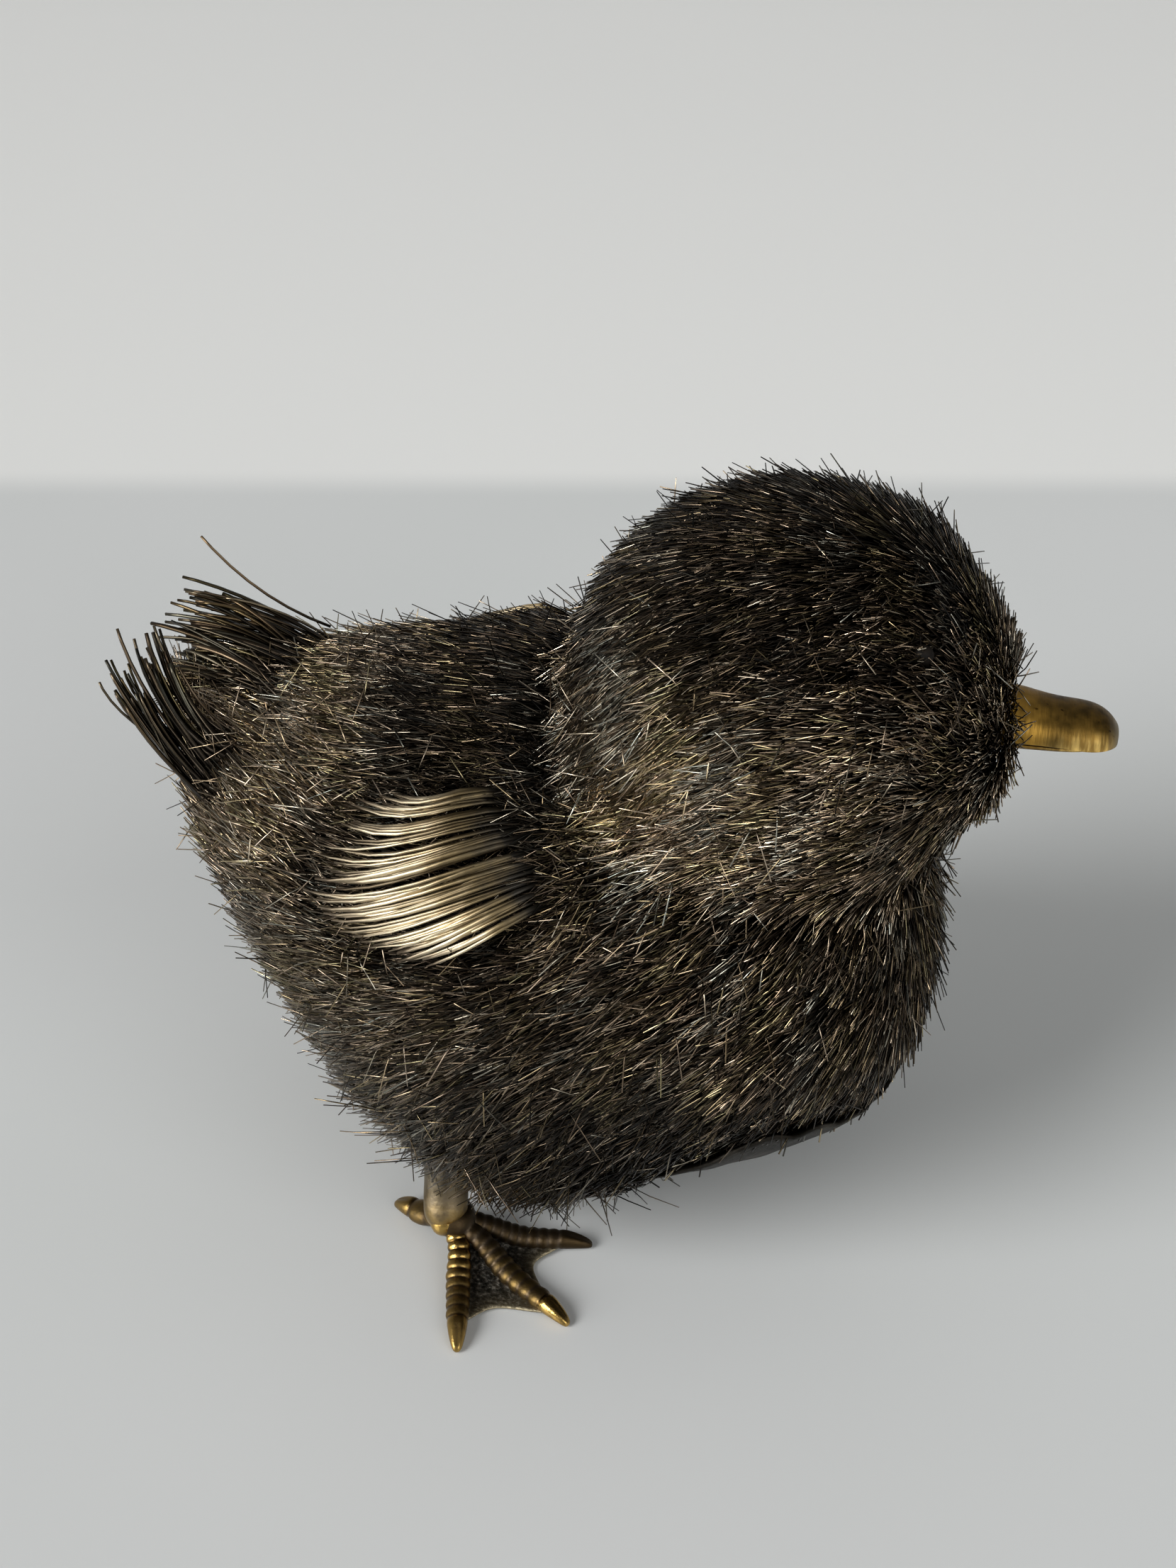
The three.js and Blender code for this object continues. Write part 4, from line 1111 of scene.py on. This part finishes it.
def belly_plate():
    """The bare sheet that closes the belly, its rim bent out and ragged, with short wires left along it."""
    half_length, half_width = BELLY_PLATE["length"] / 2, BELLY_PLATE["width"] / 2
    bm = bmesh.new()
    bmesh.ops.create_circle(bm, cap_ends=True, cap_tris=True, radius=1, segments=64)
    spokes = [e for e in bm.edges if not e.is_boundary]
    bmesh.ops.subdivide_edges(bm, edges=spokes, cuts=10, use_grid_fill=True)
    bmesh.ops.transform(bm, verts=bm.verts, matrix=Matrix.Translation((plate_middle_x, middle_y, 0)) @
                        Matrix.Diagonal((half_length, half_width, 1, 1)))
    places = np.array([v.co for v in bm.verts])
    reach = np.hypot((places[:, 0] - plate_middle_x) / half_length, (places[:, 1] - middle_y) / half_width)
    places[:, 2] = underside(places[:, 0], places[:, 1]) - 0.1
    edge = blend(0.88, 1.0, reach) * (0.9 + 0.5 * ripple(places, 3.0, 20))
    places += body.away(places) * edge[:, None]
    for vertex, place in zip(bm.verts, places):
        vertex.co = place
    bmesh.ops.recalc_face_normals(bm, faces=bm.faces)
    bmesh.ops.solidify(bm, geom=bm.faces[:], thickness=-BELLY_PLATE["sheet"])
    piece_from(bm, "belly_sheet", "belly", ["belly_plate"], levels=1)
    count = RIM_WIRES["count"]
    turn = RNG.uniform(0, 2 * math.pi, count)
    x, y = plate_middle_x + half_length * np.cos(turn), middle_y + half_width * np.sin(turn)
    root = np.stack([x, y, underside(x, y)], -1)
    outward = body.away(root)
    along = turned(body_flow(root, outward), outward, RNG.normal(0, 0.8, count))
    lines = coat_lines(root + outward * 0.4, outward, along, RNG.uniform(0.9, 3.0, count),
                       RNG.uniform(0.1, 0.6, count), RNG.uniform(0, 0.3, count), RNG.normal(0, 0.3, count))
    own = [RNG.random(count) for _ in range(3)]
    wire_piece("belly_rim_wires", lines, outward[:, None], RIM_WIRES["radius"], RIM_WIRES["radius"], own,
               ROUND_BLANK, "coat", ["belly_plate"])


# Floor, lights and camera

# The photograph's place, in degrees and millimetres: 10 from the side and 32 above, 190 away.
CAMERA = {"azimuth": math.radians(10), "elevation": math.radians(32), "distance": 190.0,
          "target": (-1.57, 0.48, 47.0), "lens": 45, "sensor": 36}
# Lamps as kind, place, aim, strength and size, which is degrees for a sun and metres for an area.
LAMPS = {
    "window": ("SUN", (-0.4, -0.42, 0.38), (0, 0, 0), 2.6, 30),
    "second_window": ("SUN", (0.5, -0.5, 0.42), (0, 0, 0), 1.0, 40),
    "low_window": ("SUN", (-0.8, -0.45, 0.12), (0, 0, 0), 1.2, 35),
    "ceiling": ("AREA", (0.05, 0.1, 0.75), (0, 0, 0.03), 0.4, 0.5),
}


def floor_finish():
    """Pale smooth board, a little lighter beyond the soft line behind the figure."""
    material, tree, shader = finish_nodes("pale_board", 0.0)
    place = tree.nodes.new("ShaderNodeTexCoord").outputs["Object"]
    backwards = (-math.sin(CAMERA["azimuth"]), math.cos(CAMERA["azimuth"]), 0)
    back = node_with(tree, "VectorMath", {0: place, 1: backwards})
    back.operation = "DOT_PRODUCT"
    edge = node_with(tree, "MapRange", {"Value": back.outputs["Value"], "From Min": 0.176, "From Max": 0.19})
    edge.interpolation_type = "SMOOTHSTEP"
    cloud = mottle(tree, 160.0, "unevenness", 2.0)
    near = ramp(tree, cloud, [(0.3, (0.6, 0.62, 0.61)), (0.7, (0.64, 0.65, 0.645))], "board")
    colour = mixed(tree, edge.outputs["Result"], near, (0.79, 0.795, 0.775))
    dressed(tree, shader, colour, cloud, (0.3, 0.36))
    return material


def floor():
    bm = bmesh.new()
    bmesh.ops.create_grid(bm, x_segments=1, y_segments=1, size=2.5)
    mesh = bpy.data.meshes.new("floor")
    bm.to_mesh(mesh)
    bm.free()
    board = bpy.data.objects.new("floor", mesh)
    bpy.context.scene.collection.objects.link(board)
    mesh.materials.append(floor_finish())


def set_out(name, data, place, aim):
    """A lamp or a camera in the scene, turned towards its aim."""
    holder = bpy.data.objects.new(name, data)
    holder.location = place
    holder.rotation_euler = (Vector(aim) - Vector(place)).to_track_quat("-Z", "Y").to_euler()
    bpy.context.scene.collection.objects.link(holder)
    return holder


def lights():
    """The lamps, and a room that shows in the metal but not to the camera."""
    for name, (kind, place, aim, energy, size) in LAMPS.items():
        light = bpy.data.lights.new(name, kind)
        light.energy = energy
        if kind == "SUN":
            light.angle = math.radians(size)
        else:
            light.size = size
        set_out(name, light, place, aim)
    world = bpy.data.worlds.new("room")
    bpy.context.scene.world = world
    world.use_nodes = True
    tree = world.node_tree
    place = tree.nodes.new("ShaderNodeTexCoord").outputs["Generated"]
    split = node_with(tree, "SeparateXYZ", {"Vector": place})
    room = ramp(tree, mapped(tree, split.outputs["Z"], 0.0, 1.0), [
        (0.0, (0.34, 0.34, 0.34)), (0.4, (0.24, 0.24, 0.24)), (1.0, (0.1, 0.1, 0.1))], "room")
    seen = tree.nodes.new("ShaderNodeLightPath").outputs["Is Camera Ray"]
    tree.links.new(mixed(tree, seen, room, (0.62, 0.625, 0.61)), tree.nodes["Background"].inputs["Color"])


def camera():
    turn, elevation = CAMERA["azimuth"], CAMERA["elevation"]
    target = Vector(CAMERA["target"]) * MM
    back = Vector((math.sin(turn) * math.cos(elevation), -math.cos(turn) * math.cos(elevation),
                   math.sin(elevation)))
    data = bpy.data.cameras.new("camera")
    data.lens = CAMERA["lens"]
    data.sensor_width = CAMERA["sensor"]
    data.clip_start = 0.01
    place = target + back * (CAMERA["distance"] * MM)
    bpy.context.scene.camera = set_out("camera", data, place, target)


camera()
lights()
floor()
for name in ("body_shell_left", "body_shell_right", "head_shell"):
    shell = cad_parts[name]
    shell.data.materials.clear()
    shell.data.materials.append(FINISHES["shell"])
body_coat()
head_coat()
wings()
tail_tufts()
eyes()
bill()
feet()
belly_plate()

bpy.context.scene.view_settings.view_transform = "Standard"
